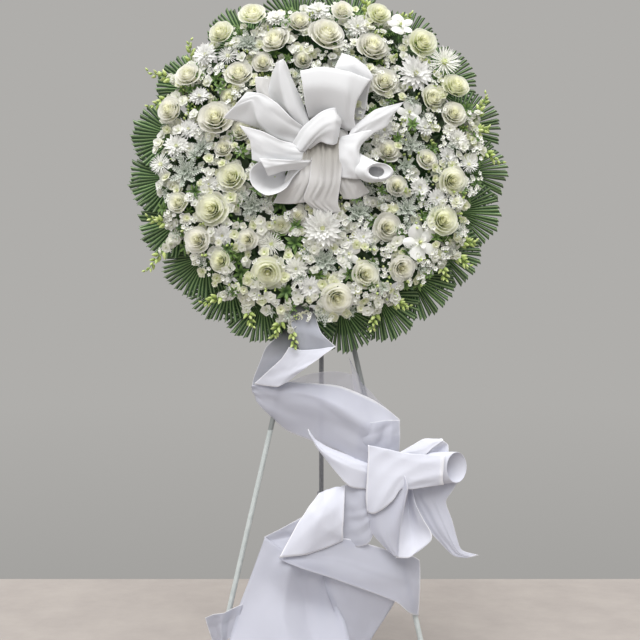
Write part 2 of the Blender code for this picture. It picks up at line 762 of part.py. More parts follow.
def build_spire_spray(number, fork_degrees, tips, frame):
    fork_angle = math.radians(fork_degrees)
    root = spire_line(fork_angle, SPIRE_ROOT_RADIUS)
    fork = spire_line(fork_angle, SPIRE_FORK_RADIUS)
    pieces = []
    for degrees, reach in tips:
        tip = spire_line(math.radians(degrees), reach / 1000)
        pieces.append(spire(fork, tip, SPIRE_GIRTH))
    # The stalk runs on a little past the fork, into the florets' stems
    pieces.append(rod(root, fork + (fork - root).normalized() * 0.002, SPIRE_STALK_RADIUS))
    spray = combine(pieces[0], pieces[1:])
    finish(spray, f"spire_spray_{number:02d}", "spire", frame)


def build_foam(holes, frame):
    """The foam disc with a plain hole for every stem, and the board behind it."""
    foam = disc(FOAM_RADIUS, 0.0, FOAM_DEPTH, 32)
    cutters = []
    for place, turn in holes:
        rings = stalk_rings(place, turn, STEM_RADIUS + SQUARE_PLAY, (HOLE_DEPTH + SEAT_GAP, -PAST_SKIN))
        cutters.append(solid(loft(rings)))
    knot = Vector(BOW_KNOT) / 1000
    cutters.append(rod((knot.x, -PAST_SKIN, knot.z), (knot.x, BOW_PICK_DEPTH + SEAT_GAP, knot.z),
                       BOW_PICK_RADIUS + ROUND_PLAY, BOW_PICK_SIDES))
    for degrees in FAN_ANGLES:
        length = FAN_HUB_RADIUS - PETIOLE_END + SEAT_GAP
        size = (PETIOLE_WIDTH + 2 * SEAT_GAP, length, FAN_THICKNESS + 2 * SEAT_GAP)
        slot = block((0, -length / 2, 0), size)
        slot.data.transform(fan_pose(math.radians(degrees)))
        cutters.append(slot)
    for degrees, _ in SPIRE_SPRAYS:
        angle = math.radians(degrees)
        root = spire_line(angle, SPIRE_ROOT_RADIUS - SEAT_GAP)
        mouth = spire_line(angle, FOAM_RADIUS + PAST_SKIN)
        cutters.append(rod(root, mouth, SPIRE_STALK_RADIUS + SQUARE_PLAY))
    combine(foam, cutters, "DIFFERENCE")
    finish(foam, "foam_disc", "foam", frame)
    board = disc(BOARD_RADIUS, FOAM_DEPTH + SEAT_GAP, BOARD_BACK, 32)
    finish(board, "backing_board", "board", frame)


# The tripod

def front_leg_line(side, climb):
    """A point on a front leg's axis in the easel frame."""
    share = 1 - climb / APEX_CLIMB
    return Vector((APEX_X + side * (LEG_TOP_SPREAD + FOOT_SPREAD * share), LEG_PLANE, climb))


def back_leg_ends():
    """The ends of the back leg's axis in the easel frame."""
    top = Vector((APEX_X, LEG_PLANE + BACK_LEG_SETBACK, APEX_CLIMB - LEG_DROP))
    foot = EASEL.inverted() @ Vector((APEX_X, BACK_FOOT_Y, FOOT_LIFT))
    return top, foot


def front_leg_ends(side):
    """The ends of a front leg's axis in the easel frame, the lower one just over the ground."""
    world = EASEL @ front_leg_line(side, 0.0)
    drop = (world.z - FOOT_LIFT) / math.cos(LEAN)
    return front_leg_line(side, APEX_CLIMB - LEG_DROP), front_leg_line(side, -drop)


def leg_bore(foot, top):
    """A cutter along a leg's axis, with the leg's play."""
    return rod(foot, top, LEG_RADIUS + ROUND_PLAY, LEG_SIDES)


def mast_bore(low):
    """A cutter along the mast's axis, from a height up past its top, with the mast's play."""
    high = MAST_TOP + PAST_SKIN
    return rod((APEX_X, LEG_PLANE, low), (APEX_X, LEG_PLANE, high), MAST_RADIUS + ROUND_PLAY, LEG_SIDES)


def build_legs(frame):
    """The legs in their caps and head, and the mast that holds the board."""
    ends = {"leg_front_left": front_leg_ends(-1), "leg_front_right": front_leg_ends(1),
            "leg_back": back_leg_ends()}
    cutters = []
    for name, (top, foot) in ends.items():
        finish(rod(foot, top, LEG_RADIUS, LEG_SIDES), name, "metal", frame, smooth=True)
        cutters.append(leg_bore(foot, top + (top - foot).normalized() * SEAT_GAP))
        build_cap(name.replace("leg", "foot_cap"), top, foot)
    head_middle = (APEX_X, BOARD_BACK + SEAT_GAP + HEAD_BLOCK[1] / 2, APEX_CLIMB + HEAD_LIFT)
    head = block(head_middle, HEAD_BLOCK)
    combine(head, [*cutters, mast_bore(MAST_FOOT - SEAT_GAP)], "DIFFERENCE")
    finish(head, "leg_head", "metal", frame)
    mast = rod((APEX_X, LEG_PLANE, MAST_FOOT), (APEX_X, LEG_PLANE, MAST_TOP), MAST_RADIUS, LEG_SIDES)
    finish(mast, "mast", "metal", frame, smooth=True)
    front = BOARD_BACK + SEAT_GAP
    depth = LEG_PLANE + HANGER_BEHIND_MAST - front
    hanger = block((APEX_X, front + depth / 2, MAST_TOP - HANGER_HEIGHT),
                   (HANGER_WIDTH, depth, HANGER_HEIGHT), HANGER_BEVEL)
    combine(hanger, [mast_bore(MAST_FOOT)], "DIFFERENCE")
    finish(hanger, "hanger_bracket", "metal", frame)
    build_clamp(frame)


def build_clamp(frame):
    """A ring clamp on the back leg, with its little wing screw."""
    top, foot = back_leg_ends()
    along = (top - foot).normalized()
    world_up = (EASEL.to_3x3() @ along).z
    middle = foot + along * (CLAMP_HEIGHT / world_up)
    half = along * CLAMP_LENGTH / 2
    outside = LEG_RADIUS + CLAMP_WALL
    body = rod(middle - half, middle + half, outside, 12)
    wing = block((middle.x + outside + 0.3 * WING_SIZE[0], middle.y, middle.z), WING_SIZE)
    combine(body, [wing])
    combine(body, [leg_bore(foot, top)], "DIFFERENCE")
    finish(body, "back_leg_clamp", "metal", frame)


def build_cap(name, top, foot):
    """A rubber cap, flat on the ground, bored along its leg."""
    top, foot = EASEL @ top, EASEL @ foot
    mesh = bmesh.new()
    bmesh.ops.create_cone(mesh, cap_ends=True, segments=16, radius1=CAP_RADIUS, radius2=0.8 * CAP_RADIUS,
                          depth=CAP_HEIGHT, matrix=Matrix.Translation((foot.x, foot.y, CAP_HEIGHT / 2)))
    cap = solid(mesh)
    combine(cap, [leg_bore(foot - (top - foot).normalized() * SEAT_GAP, top)], "DIFFERENCE")
    finish(cap, name, "rubber", None, smooth=True)


# The cloth

def build_bow(name, sheets, knot, knot_size, frame, pick=None):
    """Folded sheets gathered into a knot."""
    mesh = bmesh.new()
    place = Matrix.Translation(Vector(knot) / 1000) @ Matrix.Diagonal((*knot_size, 1))
    bmesh.ops.create_uvsphere(mesh, u_segments=8, v_segments=6, radius=1.0, matrix=place)
    body = solid(mesh)
    middle = Vector(knot)
    pieces = []
    for rows in sheets:
        gathered = [middle.lerp(Vector(point), GATHER) for point in rows[0]]
        pieces.append(sheet([gathered, *rows[1:]]))
    if pick:
        pieces.append(pick)
    combine(body, pieces)
    finish(body, name, "cloth", frame)


def build_cloth(wreath, easel):
    knot = Vector(BOW_KNOT) / 1000
    pick = rod(knot, (knot.x, BOW_PICK_DEPTH, knot.z), BOW_PICK_RADIUS, BOW_PICK_SIDES)
    build_bow("centre_bow", BOW_SHEETS, BOW_KNOT, BOW_KNOT_SIZE, wreath, pick)
    first, *others = [sheet(rows) for rows in TRAIN_SHEETS]
    finish(combine(first, others), "upper_train", "cloth", easel)
    build_bow("lower_bow", LOWER_BOW_SHEETS, LOWER_BOW_KNOT, LOWER_BOW_KNOT_SIZE, easel)
    first, *others = [sheet(rows) for rows in LOWER_SHEETS]
    finish(combine(first, others), "lower_train", "cloth", easel)


def empty(name, matrix, parent=None):
    item = bpy.data.objects.new(name, None)
    STAND.objects.link(item)
    item.parent = parent
    item.matrix_local = matrix
    return item


clear_scene()
STAND = new_collection("funeral_flower_stand")
WORKSHOP = new_collection("workshop")
EASEL = Matrix.Translation((0, GROUND_Y, 0)) @ Matrix.Rotation(-LEAN, 4, "X")


def build():
    draw = random.Random(11)
    easel = empty("easel_frame", EASEL)
    wreath = empty("wreath_frame", Matrix.Translation((0, 0, WREATH_CLIMB)), easel)
    holes = build_sprays(wreath, draw)
    for number, degrees in enumerate(FAN_ANGLES, 1):
        build_fan(number, degrees, wreath, draw)
    for number, (fork, tips) in enumerate(SPIRE_SPRAYS, 1):
        build_spire_spray(number, fork, tips, wreath)
    build_foam(holes, wreath)
    build_legs(easel)
    build_cloth(wreath, easel)
    bpy.data.collections.remove(WORKSHOP)


build()
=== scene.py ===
"""Looks of the funeral flower stand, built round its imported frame.

Metres, +Z up, front towards -Y. The easel frame leans back with the stand: X to the right, +Y
back out of the leaning plane, +Z up along it. The wreath frame is the same, with its origin at
the middle of the foam's front face. Blooms are made once, facing +Z with a radius of one, and
are then placed. Every vertex has a tint: how far along its petal it is, a number of its petal's
own, a number of its bloom's own, and how far out its layer is.
"""
import math
import random

import bpy
import numpy as np
from mathutils import Matrix, Vector


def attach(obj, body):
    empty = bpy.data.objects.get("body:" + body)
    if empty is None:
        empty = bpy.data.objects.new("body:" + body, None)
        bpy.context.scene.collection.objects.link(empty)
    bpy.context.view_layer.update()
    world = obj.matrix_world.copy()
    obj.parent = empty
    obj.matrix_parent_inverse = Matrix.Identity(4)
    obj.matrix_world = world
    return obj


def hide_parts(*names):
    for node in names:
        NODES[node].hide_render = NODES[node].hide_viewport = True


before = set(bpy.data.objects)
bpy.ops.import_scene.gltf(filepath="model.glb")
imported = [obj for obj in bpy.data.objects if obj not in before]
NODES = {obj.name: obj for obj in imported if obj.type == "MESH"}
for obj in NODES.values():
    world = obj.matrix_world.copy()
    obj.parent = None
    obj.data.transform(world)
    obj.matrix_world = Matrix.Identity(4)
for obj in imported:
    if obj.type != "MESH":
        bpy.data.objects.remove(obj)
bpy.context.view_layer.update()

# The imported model's own frames and sizes
LEAN = math.radians(8.0)
EASEL_FRONT = -0.175
WREATH_HEIGHT = 1.159
EASEL = Matrix.Translation((0, EASEL_FRONT, 0)) @ Matrix.Rotation(-LEAN, 4, "X")
WREATH = EASEL @ Matrix.Translation((0, 0, WREATH_HEIGHT))
FOAM_RADIUS = 0.330
# How far the front of the legs lies behind the foam's face, in millimetres
LEG_FRONT = 68.4

# The camera, level, at the photograph's distance; its focal length is in the picture's pixels
CAMERA = Vector((0.0046, -2.414, 0.78))
FOCAL = 1034.0
HALF_PICTURE = 320

# The random draws of the large blooms, and the seeds of all the other draws
DRAW = random.Random(5)
BLOOM_SEED = 20
FILLER_SEED = 17
FILLER_SPOTS_SEED = 3
BED_SEED = 8
BED_SPOTS_SEED = 6
FAN_SEED = 100
SPIRE_SEED = 60

TAU = math.tau
# Half turns from each place to the next that spread places evenly over a disc
GOLDEN = 3 - math.sqrt(5)


def seen(px, py, depth):
    """The point that shows at a place in the picture, so many millimetres behind the foam's face."""
    ray = Vector(((px - HALF_PICTURE) / FOCAL, 1, (HALF_PICTURE - py) / FOCAL))
    normal = EASEL.to_3x3() @ Vector((0, 1, 0))
    origin = EASEL @ Vector((0, depth / 1000, 0))
    return CAMERA + ray * ((origin - CAMERA).dot(normal) / ray.dot(normal))


def put(name, data):
    """A new object in the scene."""
    item = bpy.data.objects.new(name, data)
    bpy.context.scene.collection.objects.link(item)
    return item


# Surfaces

class Surface:
    """A mesh grown from grids of points and from other surfaces."""

    def __init__(self):
        self.points, self.tints, self.quads, self.slots = [], [], [], []
        self.total = 0

    def grid(self, points, own=0.5, layer=0.5, slot=0, closed=False):
        """Add a net of points, closed to a tube if wanted."""
        rows, cols = points.shape[:2]
        index = np.arange(rows * cols).reshape(rows, cols) + self.total
        if closed:
            index = np.concatenate([index, index[:, :1]], axis=1)
        quads = np.stack([index[:-1, :-1], index[:-1, 1:], index[1:, 1:], index[1:, :-1]], axis=-1)
        tint = np.empty((rows, cols, 4))
        tint[..., 0] = np.linspace(0, 1, rows)[:, None]
        tint[..., 1] = own
        tint[..., 2] = 0.5
        tint[..., 3] = layer
        self.points.append(points.reshape(-1, 3))
        self.tints.append(tint.reshape(-1, 4))
        self.quads.append(quads.reshape(-1, 4))
        self.slots.append(np.full(quads.size // 4, slot))
        self.total += rows * cols

    def turned(self, profile, layer, slot, sides=8, lobes=0, depth=0.0):
        """Add a round form."""
        self.grid(lathe(profile, sides, lobes, depth), 0.5, layer, slot, True)

    def stalk(self, path, radii):
        """Add a stem, in the second material."""
        self.grid(tube(path, radii), 0.5, 0.5, 1, True)

    def pack(self):
        """Everything added so far, as one array of each kind."""
        if len(self.points) > 1:
            joined = [[np.concatenate(kind)] for kind in (self.points, self.tints, self.quads, self.slots)]
            self.points, self.tints, self.quads, self.slots = joined
        return self.points[0], self.tints[0], self.quads[0], self.slots[0]

    def place(self, other, matrix, bloom=0.5):
        """Add another surface, moved, turned and scaled by a matrix."""
        points, tints, quads, slots = other.pack()
        turn = np.array(matrix.to_3x3())
        tints = tints.copy()
        tints[:, 2] = bloom
        self.points.append(points @ turn.T + np.array(matrix.translation))
        self.tints.append(tints)
        self.quads.append(quads + self.total)
        self.slots.append(slots)
        self.total += len(points)

    def build(self, name, materials, slot, replaces=(), thickness=0.0, smooth=True):
        """Make the piece, which rides on the stand and stands for the nodes it replaces."""
        points, tints, quads, slots = self.pack()
        mesh = bpy.data.meshes.new(name)
        mesh.from_pydata(points.tolist(), [], quads.tolist())
        for each in materials:
            mesh.materials.append(each)
        mesh.polygons.foreach_set("material_index", slots.astype(np.int32))
        layer = mesh.attributes.new("tint", "FLOAT_COLOR", "POINT")
        layer.data.foreach_set("color", tints.astype(np.float32).ravel())
        if smooth:
            mesh.shade_smooth()
        mesh.update()
        item = put(name, mesh)
        if thickness:
            shell = item.modifiers.new("thickness", "SOLIDIFY")
            shell.thickness = thickness
            shell.offset = 0.0
        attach(item, "root")
        if replaces:
            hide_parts(*replaces)
        return item


def spline(points, count):
    """A smooth curve through an array's rows."""
    points = np.asarray(points, float)
    last = len(points) - 1
    ends = np.concatenate([2 * points[:1] - points[1:2], points, 2 * points[-1:] - points[-2:-1]])
    t = np.linspace(0, last, count)
    k = np.minimum(t.astype(int), last - 1)
    f = (t - k).reshape(-1, *[1] * (points.ndim - 1))
    a, b, c, d = (ends[k + i] for i in range(4))
    return b + 0.5 * f * ((c - a) + f * ((2 * a - 5 * b + 4 * c - d) + f * (3 * (b - c) + d - a)))


def creased(points, count, crisp):
    """Between a smooth curve through an array's rows and straight lines between them."""
    points = np.asarray(points, float)
    t = np.linspace(0, len(points) - 1, count)
    k = np.minimum(t.astype(int), len(points) - 2)
    f = (t - k).reshape(-1, *[1] * (points.ndim - 1))
    return (1 - crisp) * spline(points, count) + crisp * (points[k] * (1 - f) + points[k + 1] * f)


def spread(net, rows, cols, crisp):
    """A surface through a net of points, folded as crisply along and across as asked."""
    return creased(creased(net, rows, crisp[0]).transpose(1, 0, 2), cols, crisp[1]).transpose(1, 0, 2)


def facing(direction):
    """The turn that points +Z in a direction."""
    return Vector(direction).to_track_quat("Z", "Y").to_matrix().to_4x4()


def around(draw, count, jitter=0.0):
    """Turns evenly round a circle from a drawn start, each a little off its place if wanted."""
    start = draw.uniform(0, TAU)
    for i in range(count):
        off = draw.uniform(-jitter, jitter) if jitter else 0
        yield start + TAU * (i + off) / count


def outline(v, root, widest, sharp):
    """Half a leaf's width along its length: root to widest point to tip."""
    rise = root + (1 - root) * np.sin(np.clip(v / widest, 0, 1) * math.pi / 2)
    fall = (1 - np.clip((v - widest) / (1 - widest), 0, 1) ** 2) ** sharp
    return rise * np.maximum(fall, 0.07)


def blade(length, width, lift=0.3, curl=0.0, cup=0.2, shape=(0.3, 0.6, 0.5), rows=6, cols=3,
          start=0.0, base=0.0, turn=0.0, wave=0.0):
    """A petal or leaf that leaves the axis at an angle and bends on its way."""
    v = np.linspace(0, 1, rows)[:, None]
    u = np.linspace(-1, 1, cols)[None]
    angle = lift + curl * v[:-1]
    step = length / (rows - 1)
    along = start + np.concatenate([[[0.0]], np.cumsum(np.cos(angle) * step, axis=0)])
    up = base + np.concatenate([[[0.0]], np.cumsum(np.sin(angle) * step, axis=0)])
    half = width / 2 * outline(v, *shape)
    x = along + 0 * u
    y = half * u
    z = up + half * (cup * u ** 2 + wave * np.sin(7 * v + 4 * u + 9 * turn) * v)
    cos, sin = math.cos(turn), math.sin(turn)
    return np.stack([x * cos - y * sin, x * sin + y * cos, z], axis=-1)


def tube(path, radii, sides=5):
    """A round stem along a path."""
    path = np.asarray(path, float)
    along = np.gradient(path, axis=0)
    along /= np.linalg.norm(along, axis=1)[:, None]
    side = np.cross(along, (0.31, 0.87, 0.38))
    side /= np.linalg.norm(side, axis=1)[:, None]
    other = np.cross(along, side)
    angle = np.arange(sides) * TAU / sides
    ring = np.cos(angle)[None, :, None] * side[:, None] + np.sin(angle)[None, :, None] * other[:, None]
    return path[:, None] + ring * np.asarray(radii, float).reshape(-1, 1, 1)


def lathe(profile, sides=8, lobes=0, depth=0.0):
    """A round form from (radius, height) pairs, with lobes round it if wanted."""
    profile = np.asarray(profile, float)
    angle = np.arange(sides) * TAU / sides
    swell = 1 + depth * np.cos(lobes * angle)
    radius = profile[:, :1] * swell[None]
    height = profile[:, 1:] + 0 * angle[None]
    return np.stack([radius * np.cos(angle), radius * np.sin(angle), height], axis=-1)


# Blooms, with a radius of one

# A rose's layers, from the heart out: petals, radius at the root and at the rim, height, half a petal's
# width as an angle, and how far the rim rolls out
OPEN_ROSE = (
    (3, 0.04, 0.13, 0.99, 1.5, 0.05),
    (3, 0.09, 0.23, 0.98, 1.35, 0.08),
    (4, 0.13, 0.35, 0.95, 1.15, 0.10),
    (4, 0.18, 0.49, 0.88, 1.1, 0.13),
    (5, 0.24, 0.66, 0.77, 0.90, 0.15),
    (5, 0.30, 0.84, 0.58, 0.84, 0.18),
)
YOUNG_ROSE = (
    (3, 0.04, 0.17, 1.00, 1.5, 0.06),
    (3, 0.12, 0.31, 0.98, 1.3, 0.09),
    (4, 0.18, 0.46, 0.91, 1.1, 0.11),
    (4, 0.24, 0.62, 0.80, 1.0, 0.14),
    (5, 0.30, 0.82, 0.60, 0.84, 0.16),
)
# A daisy's rings, from the outside in: rays, length, lift, width, height of the root
DAISY_RINGS = (
    (20, 0.90, 0.14, 0.20, 0.20),
    (18, 0.80, 0.32, 0.19, 0.25),
    (15, 0.64, 0.56, 0.18, 0.28),
    (12, 0.46, 0.86, 0.15, 0.30),
    (8, 0.30, 1.20, 0.12, 0.32),
)
SPIDER_RINGS = (
    (26, 0.92, 0.10, 0.065, 0.20),
    (24, 0.86, 0.40, 0.06, 0.24),
    (18, 0.66, 0.75, 0.06, 0.28),
    (12, 0.40, 1.10, 0.06, 0.30),
)
# A silver rosette's rings, from the outside in: leaves, length, lift, height of the root
MILLER_RINGS = ((7, 0.95, 0.22, 0.04), (6, 0.75, 0.62, 0.10), (5, 0.50, 1.05, 0.16))
SMALL_MILLER_RINGS = ((5, 0.95, 0.30, 0.04), (3, 0.65, 0.85, 0.10))


def rose_petal(base, top, height, span, turn, roll, draw):
    """A petal that wraps round the heart, with its rim rolled out."""
    v = np.linspace(0, 1, 7)[:, None]
    u = np.linspace(-1, 1, 9)[None]
    rim = 1 - 0.15 * np.abs(u) ** 2.5 + 0.02 * np.sin(5 * u + draw.uniform(0, TAU))
    t = v * rim
    lip = np.clip((t - 0.70) / 0.30, 0, 1) ** 2
    radius = base + (top - base) * np.sin(np.clip(t, 0, 1) * math.pi / 2) ** 0.85
    radius = radius + roll * lip * (0.6 + 0.4 * np.abs(u)) + 0.07 * u * top
    angle = turn + u * span * (0.6 + 0.4 * t)
    rise = height * t ** 1.1 - 0.6 * roll * lip + 0.03 * (1 - np.abs(u)) * roll * 8 * lip
    return np.stack([radius * np.cos(angle), radius * np.sin(angle), rise], axis=-1)


def rose(draw, layers=OPEN_ROSE):
    """Petals wrapped round a closed heart; the outer ones roll back."""
    head = Surface()
    head.turned(((0.16, 0.30), (0.13, 0.66), (0.08, 0.86), (0.01, 0.92)), 0.1, 0, 8, 3, 0.15)
    for number, (count, base, top, height, span, roll) in enumerate(layers):
        for turn in around(draw, count, 0.08):
            near = draw.uniform(0.95, 1.06)
            petal = rose_petal(base, top * near, height * draw.uniform(0.95, 1.04), span, turn,
                               roll * draw.uniform(0.7, 1.3), draw)
            head.grid(petal, draw.random(), number / (len(layers) - 1))
    for i in range(5):
        sepal = blade(0.55, 0.20, 0.35, 0.4, 0.3, (0.5, 0.35, 1.2), 5, 3, 0.03, 0.02, TAU * i / 5)
        head.grid(sepal, draw.random(), 1.0, slot=1)
    head.turned(((0.05, -0.10), (0.13, -0.02), (0.20, 0.08), (0.26, 0.20)), 1.0, 1)
    return head


def daisy(draw, rings=DAISY_RINGS):
    """Rings of narrow rays round a small button."""
    head = Surface()
    for number, (count, length, lift, width, base) in enumerate(rings):
        for turn in around(draw, count, 0.25):
            ray = blade(length * draw.uniform(0.88, 1.06), width * draw.uniform(0.9, 1.15),
                        lift + draw.uniform(-0.12, 0.12), draw.uniform(-0.3, 0.5), 0.5,
                        (0.45, 0.72, 0.5), 5, 3, 0.07, base, turn)
            head.grid(ray, draw.random(), 1 - number / len(rings))
    head.turned(((0.20, 0.26), (0.17, 0.34), (0.10, 0.39), (0.01, 0.41)), 0.0, 2, 10, 5, 0.08)
    head.turned(((0.04, -0.05), (0.16, 0.10), (0.22, 0.26)), 1.0, 1)
    return head


def orchid(draw):
    """Five broad petals, a lip and a column."""
    head = Surface()
    for i in range(5):
        wide = 0.86 if i in (1, 4) else 0.56
        petal = blade(0.92, wide, 0.42, -0.55, -0.25, (0.22, 0.58, 0.5), 8, 7, 0.05, 0.16,
                      TAU * i / 5 + 0.3, 0.10)
        head.grid(petal, draw.random(), 1.0)
    for i in range(3):
        lip = blade(0.40, 0.30, 0.95, -0.9, 0.6, (0.4, 0.6, 0.6), 6, 5, 0.03, 0.20, TAU * i / 3 + 2.3)
        head.grid(lip, draw.random(), 0.2)
    head.turned(((0.05, 0.18), (0.08, 0.34), (0.06, 0.46), (0.01, 0.50)), 0.0, 2)
    head.turned(((0.03, -0.05), (0.07, 0.10), (0.10, 0.20)), 1.0, 1)
    return head


def miller_leaf(length, lift, pairs, draw):
    """A felted leaf: a spine with rounded lobes to both sides."""
    leaf = Surface()
    spine = blade(length, 0.09 * length, lift, 0.35, 0.1, (0.6, 0.4, 0.5), 8, 3)
    leaf.grid(spine, draw.random(), 0.5)
    for i in range(pairs):
        share = 0.24 + 0.68 * i / (pairs - 1)
        size = length * (0.42 - 0.22 * share)
        for side in (-1, 1):
            lobe = blade(size, (0.56 - 0.04 * pairs) * size, 0.2 + 0.4 * lift + draw.uniform(-0.2, 0.5),
                         0.2, 0.25, (0.35, 0.68, 0.5), 4, 3, 0.0, 0.0, side * (1.0 - 0.45 * share))
            leaf.grid(lobe + spine[round(share * 7), 1], draw.random(), 0.5)
    return leaf


def miller(draw, rings=MILLER_RINGS, pairs=6):
    """Silver leaves in rings; a small rosette has fewer and plainer ones."""
    head = Surface()
    for count, length, lift, base in rings:
        for turn in around(draw, count):
            leaf = miller_leaf(length * draw.uniform(0.85, 1.05), lift + draw.uniform(-0.1, 0.15),
                               pairs, draw)
            head.place(leaf, Matrix.Translation((0, 0, base)) @ Matrix.Rotation(turn, 4, "Z"))
    return head


def leaf_rosette(draw):
    """Two rings of pointed green leaves."""
    head = Surface()
    for count, length, lift in ((6, 1.0, 0.25), (5, 0.75, 0.65)):
        for turn in around(draw, count):
            leaf = blade(length * draw.uniform(0.85, 1.05), 0.34 * length, lift + draw.uniform(-0.1, 0.2),
                         -0.35, 0.45, (0.2, 0.42, 1.1), 7, 3, 0.03, 0.02, turn)
            head.grid(leaf, draw.random(), 0.5)
    return head


def floret(draw, ruffle=0.25):
    """A small ruffled flower of two rows of petals."""
    head = Surface()
    for count, length, lift, base in ((5, 0.95, 0.35, 0.10), (4, 0.62, 0.85, 0.16)):
        for turn in around(draw, count):
            petal = blade(length * draw.uniform(0.85, 1.1), 0.95 * length, lift + draw.uniform(-0.2, 0.2),
                          -0.3, 0.25, (0.25, 0.66, 0.42), 4, 4, 0.04, base, turn, ruffle)
            head.grid(petal, draw.random(), lift)
    head.turned(((0.03, -0.20), (0.10, -0.05), (0.15, 0.12)), 1.0, 1, 6)
    return head


def star_flower(draw):
    """A tiny five-petalled flower with a green cup."""
    head = Surface()
    for i in range(5):
        petal = blade(0.85, 0.78, 0.25 + draw.uniform(-0.1, 0.2), 0.2, 0.3, (0.3, 0.62, 0.45), 3, 3,
                      0.1, 0.1, TAU * i / 5)
        head.grid(petal, draw.random(), 0.8)
    head.turned(((0.06, -0.3), (0.20, 0.10), (0.02, 0.15)), 0.0, 1, 5)
    return head


def bud(draw):
    """A closed bud."""
    head = Surface()
    profile = ((0.10, -0.05), (0.40, 0.20), (0.50, 0.60), (0.40, 1.10), (0.20, 1.55), (0.02, 1.80))
    head.grid(lathe(profile, 7, 3, 0.10), draw.random(), 0.5, 0, True)
    return head


def kinds_of(make, count, *extra):
    """Some blooms of a kind, each a little different."""
    return [make(random.Random(BLOOM_SEED + i), *extra) for i in range(count)]


# Where the blooms stand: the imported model's own rule, on the same places

# Across, up and radius in millimetres, from the middle of the foam
ROSES = (
    (-230, 295, 28), (-151, 332, 30), (-193, 209, 30), (-295, 186, 28), (-327, 102, 30),
    (-246, 74, 39), (-100, 276, 32), (-123, 232, 23), (14, 292, 39), (-35, 234, 21),
    (63, 345, 23), (118, 267, 35), (213, 285, 32), (167, 179, 32), (255, 139, 28),
    (306, 172, 30), (309, 102, 28), (167, 14, 26), (239, 9, 23), (181, -70, 23),
    (299, -58, 30), (271, -139, 32), (151, -165, 30), (190, -248, 28), (97, -262, 30),
    (39, -320, 34), (-109, -258, 35), (-77, -158, 21), (-158, -190, 23), (-204, -53, 32),
    (-239, -111, 35), (-316, -107, 23), (-269, -193, 28), (-218, -240, 23), (-183, 65, 23),
    (-46, -146, 19), (-204, 140, 21), (160, 340, 26), (-40, 330, 26), (-216, 19, 21),
)
DAISIES = (
    (-253, 246, 23), (-276, 150, 20), (-10, 338, 21), (288, 241, 30), (232, 225, 34),
    (153, 56, 21), (316, 42, 20), (2, -169, 37), (-102, -200, 21), (-16, -300, 22),
    (-53, -258, 21), (-216, -176, 21), (-304, 16, 23), (-343, -20, 20), (-262, -59, 18),
    (281, 0, 19), (237, -77, 21), (269, -93, 18), (-200, 250, 20), (100, 320, 22),
    (-105, 325, 20), (230, 60, 18), (-290, 70, 19), (340, -20, 18), (90, -190, 19),
)
ORCHIDS = ((241, 345, 28), (220, 107, 27), (230, -197, 36), (88, -216, 24))
MILLERS = (
    (-295, -21, 32), (-169, 290, 26), (95, -144, 28), (232, 30, 24), (16, -232, 28),
    (200, -120, 26), (-150, -110, 26), (60, 235, 24), (-265, 30, 24), (200, -10, 20),
)
# The gap between blooms, how far out their middles lie at most, and how far out green rosettes do
BLOOM_GAP = 0.0016
BED_RADIUS = 0.370
STEM_LIMIT = 0.320
# The blooms' height over the foam near its rim, and how much more it is in the middle
BLOOM_BASE = 0.023
BLOOM_DOME = 0.007
# How much larger than in the tables blooms are, and how much daisies and silver rosettes
BLOOM_GROWTH = 1.05
FLAT_BLOOM_GROWTH = 1.16
# Steps of pushing blooms apart, the first of them also pulling each towards its own place
SPREAD_STEPS = 300
PUSH = 0.5
HOME_STEPS = 120
HOME_PULL = 0.03
# Green rosettes in the widest gaps, which are looked for at so many places outside the bow
LEAF_COUNT = 16
LARGEST_LEAF = 0.032
GAP_SPOTS = 900
BOW_MIDDLE = np.array((0.0, 0.055))
BOW_REACH = 0.125
# How far a bloom at the foam's rim leans outwards
RIM_LEAN = math.radians(16)


def crowding(place, size):
    """How each bloom is pushed by those it overlaps."""
    offset = place[:, None] - place[None]
    distance = np.linalg.norm(offset, axis=2) + np.eye(len(size))
    overlap = np.clip(size[:, None] + size[None] + BLOOM_GAP - distance, 0, None)
    np.fill_diagonal(overlap, 0)
    return (offset / distance[..., None] * overlap[..., None]).sum(axis=1)


def widest_gap(place, size):
    """The place with the most room left on the foam, and how much that is."""
    number = np.arange(GAP_SPOTS)
    reach = STEM_LIMIT * np.sqrt((number + 0.5) / GAP_SPOTS)
    angle = number * math.pi * GOLDEN
    spots = np.stack([reach * np.cos(angle), reach * np.sin(angle)], axis=1)
    spots = spots[np.linalg.norm(spots - BOW_MIDDLE, axis=1) > BOW_REACH]
    room = (np.linalg.norm(spots[:, None] - place[None], axis=2) - size).min(axis=1) - BLOOM_GAP
    best = int(room.argmax())
    return spots[best], room[best]


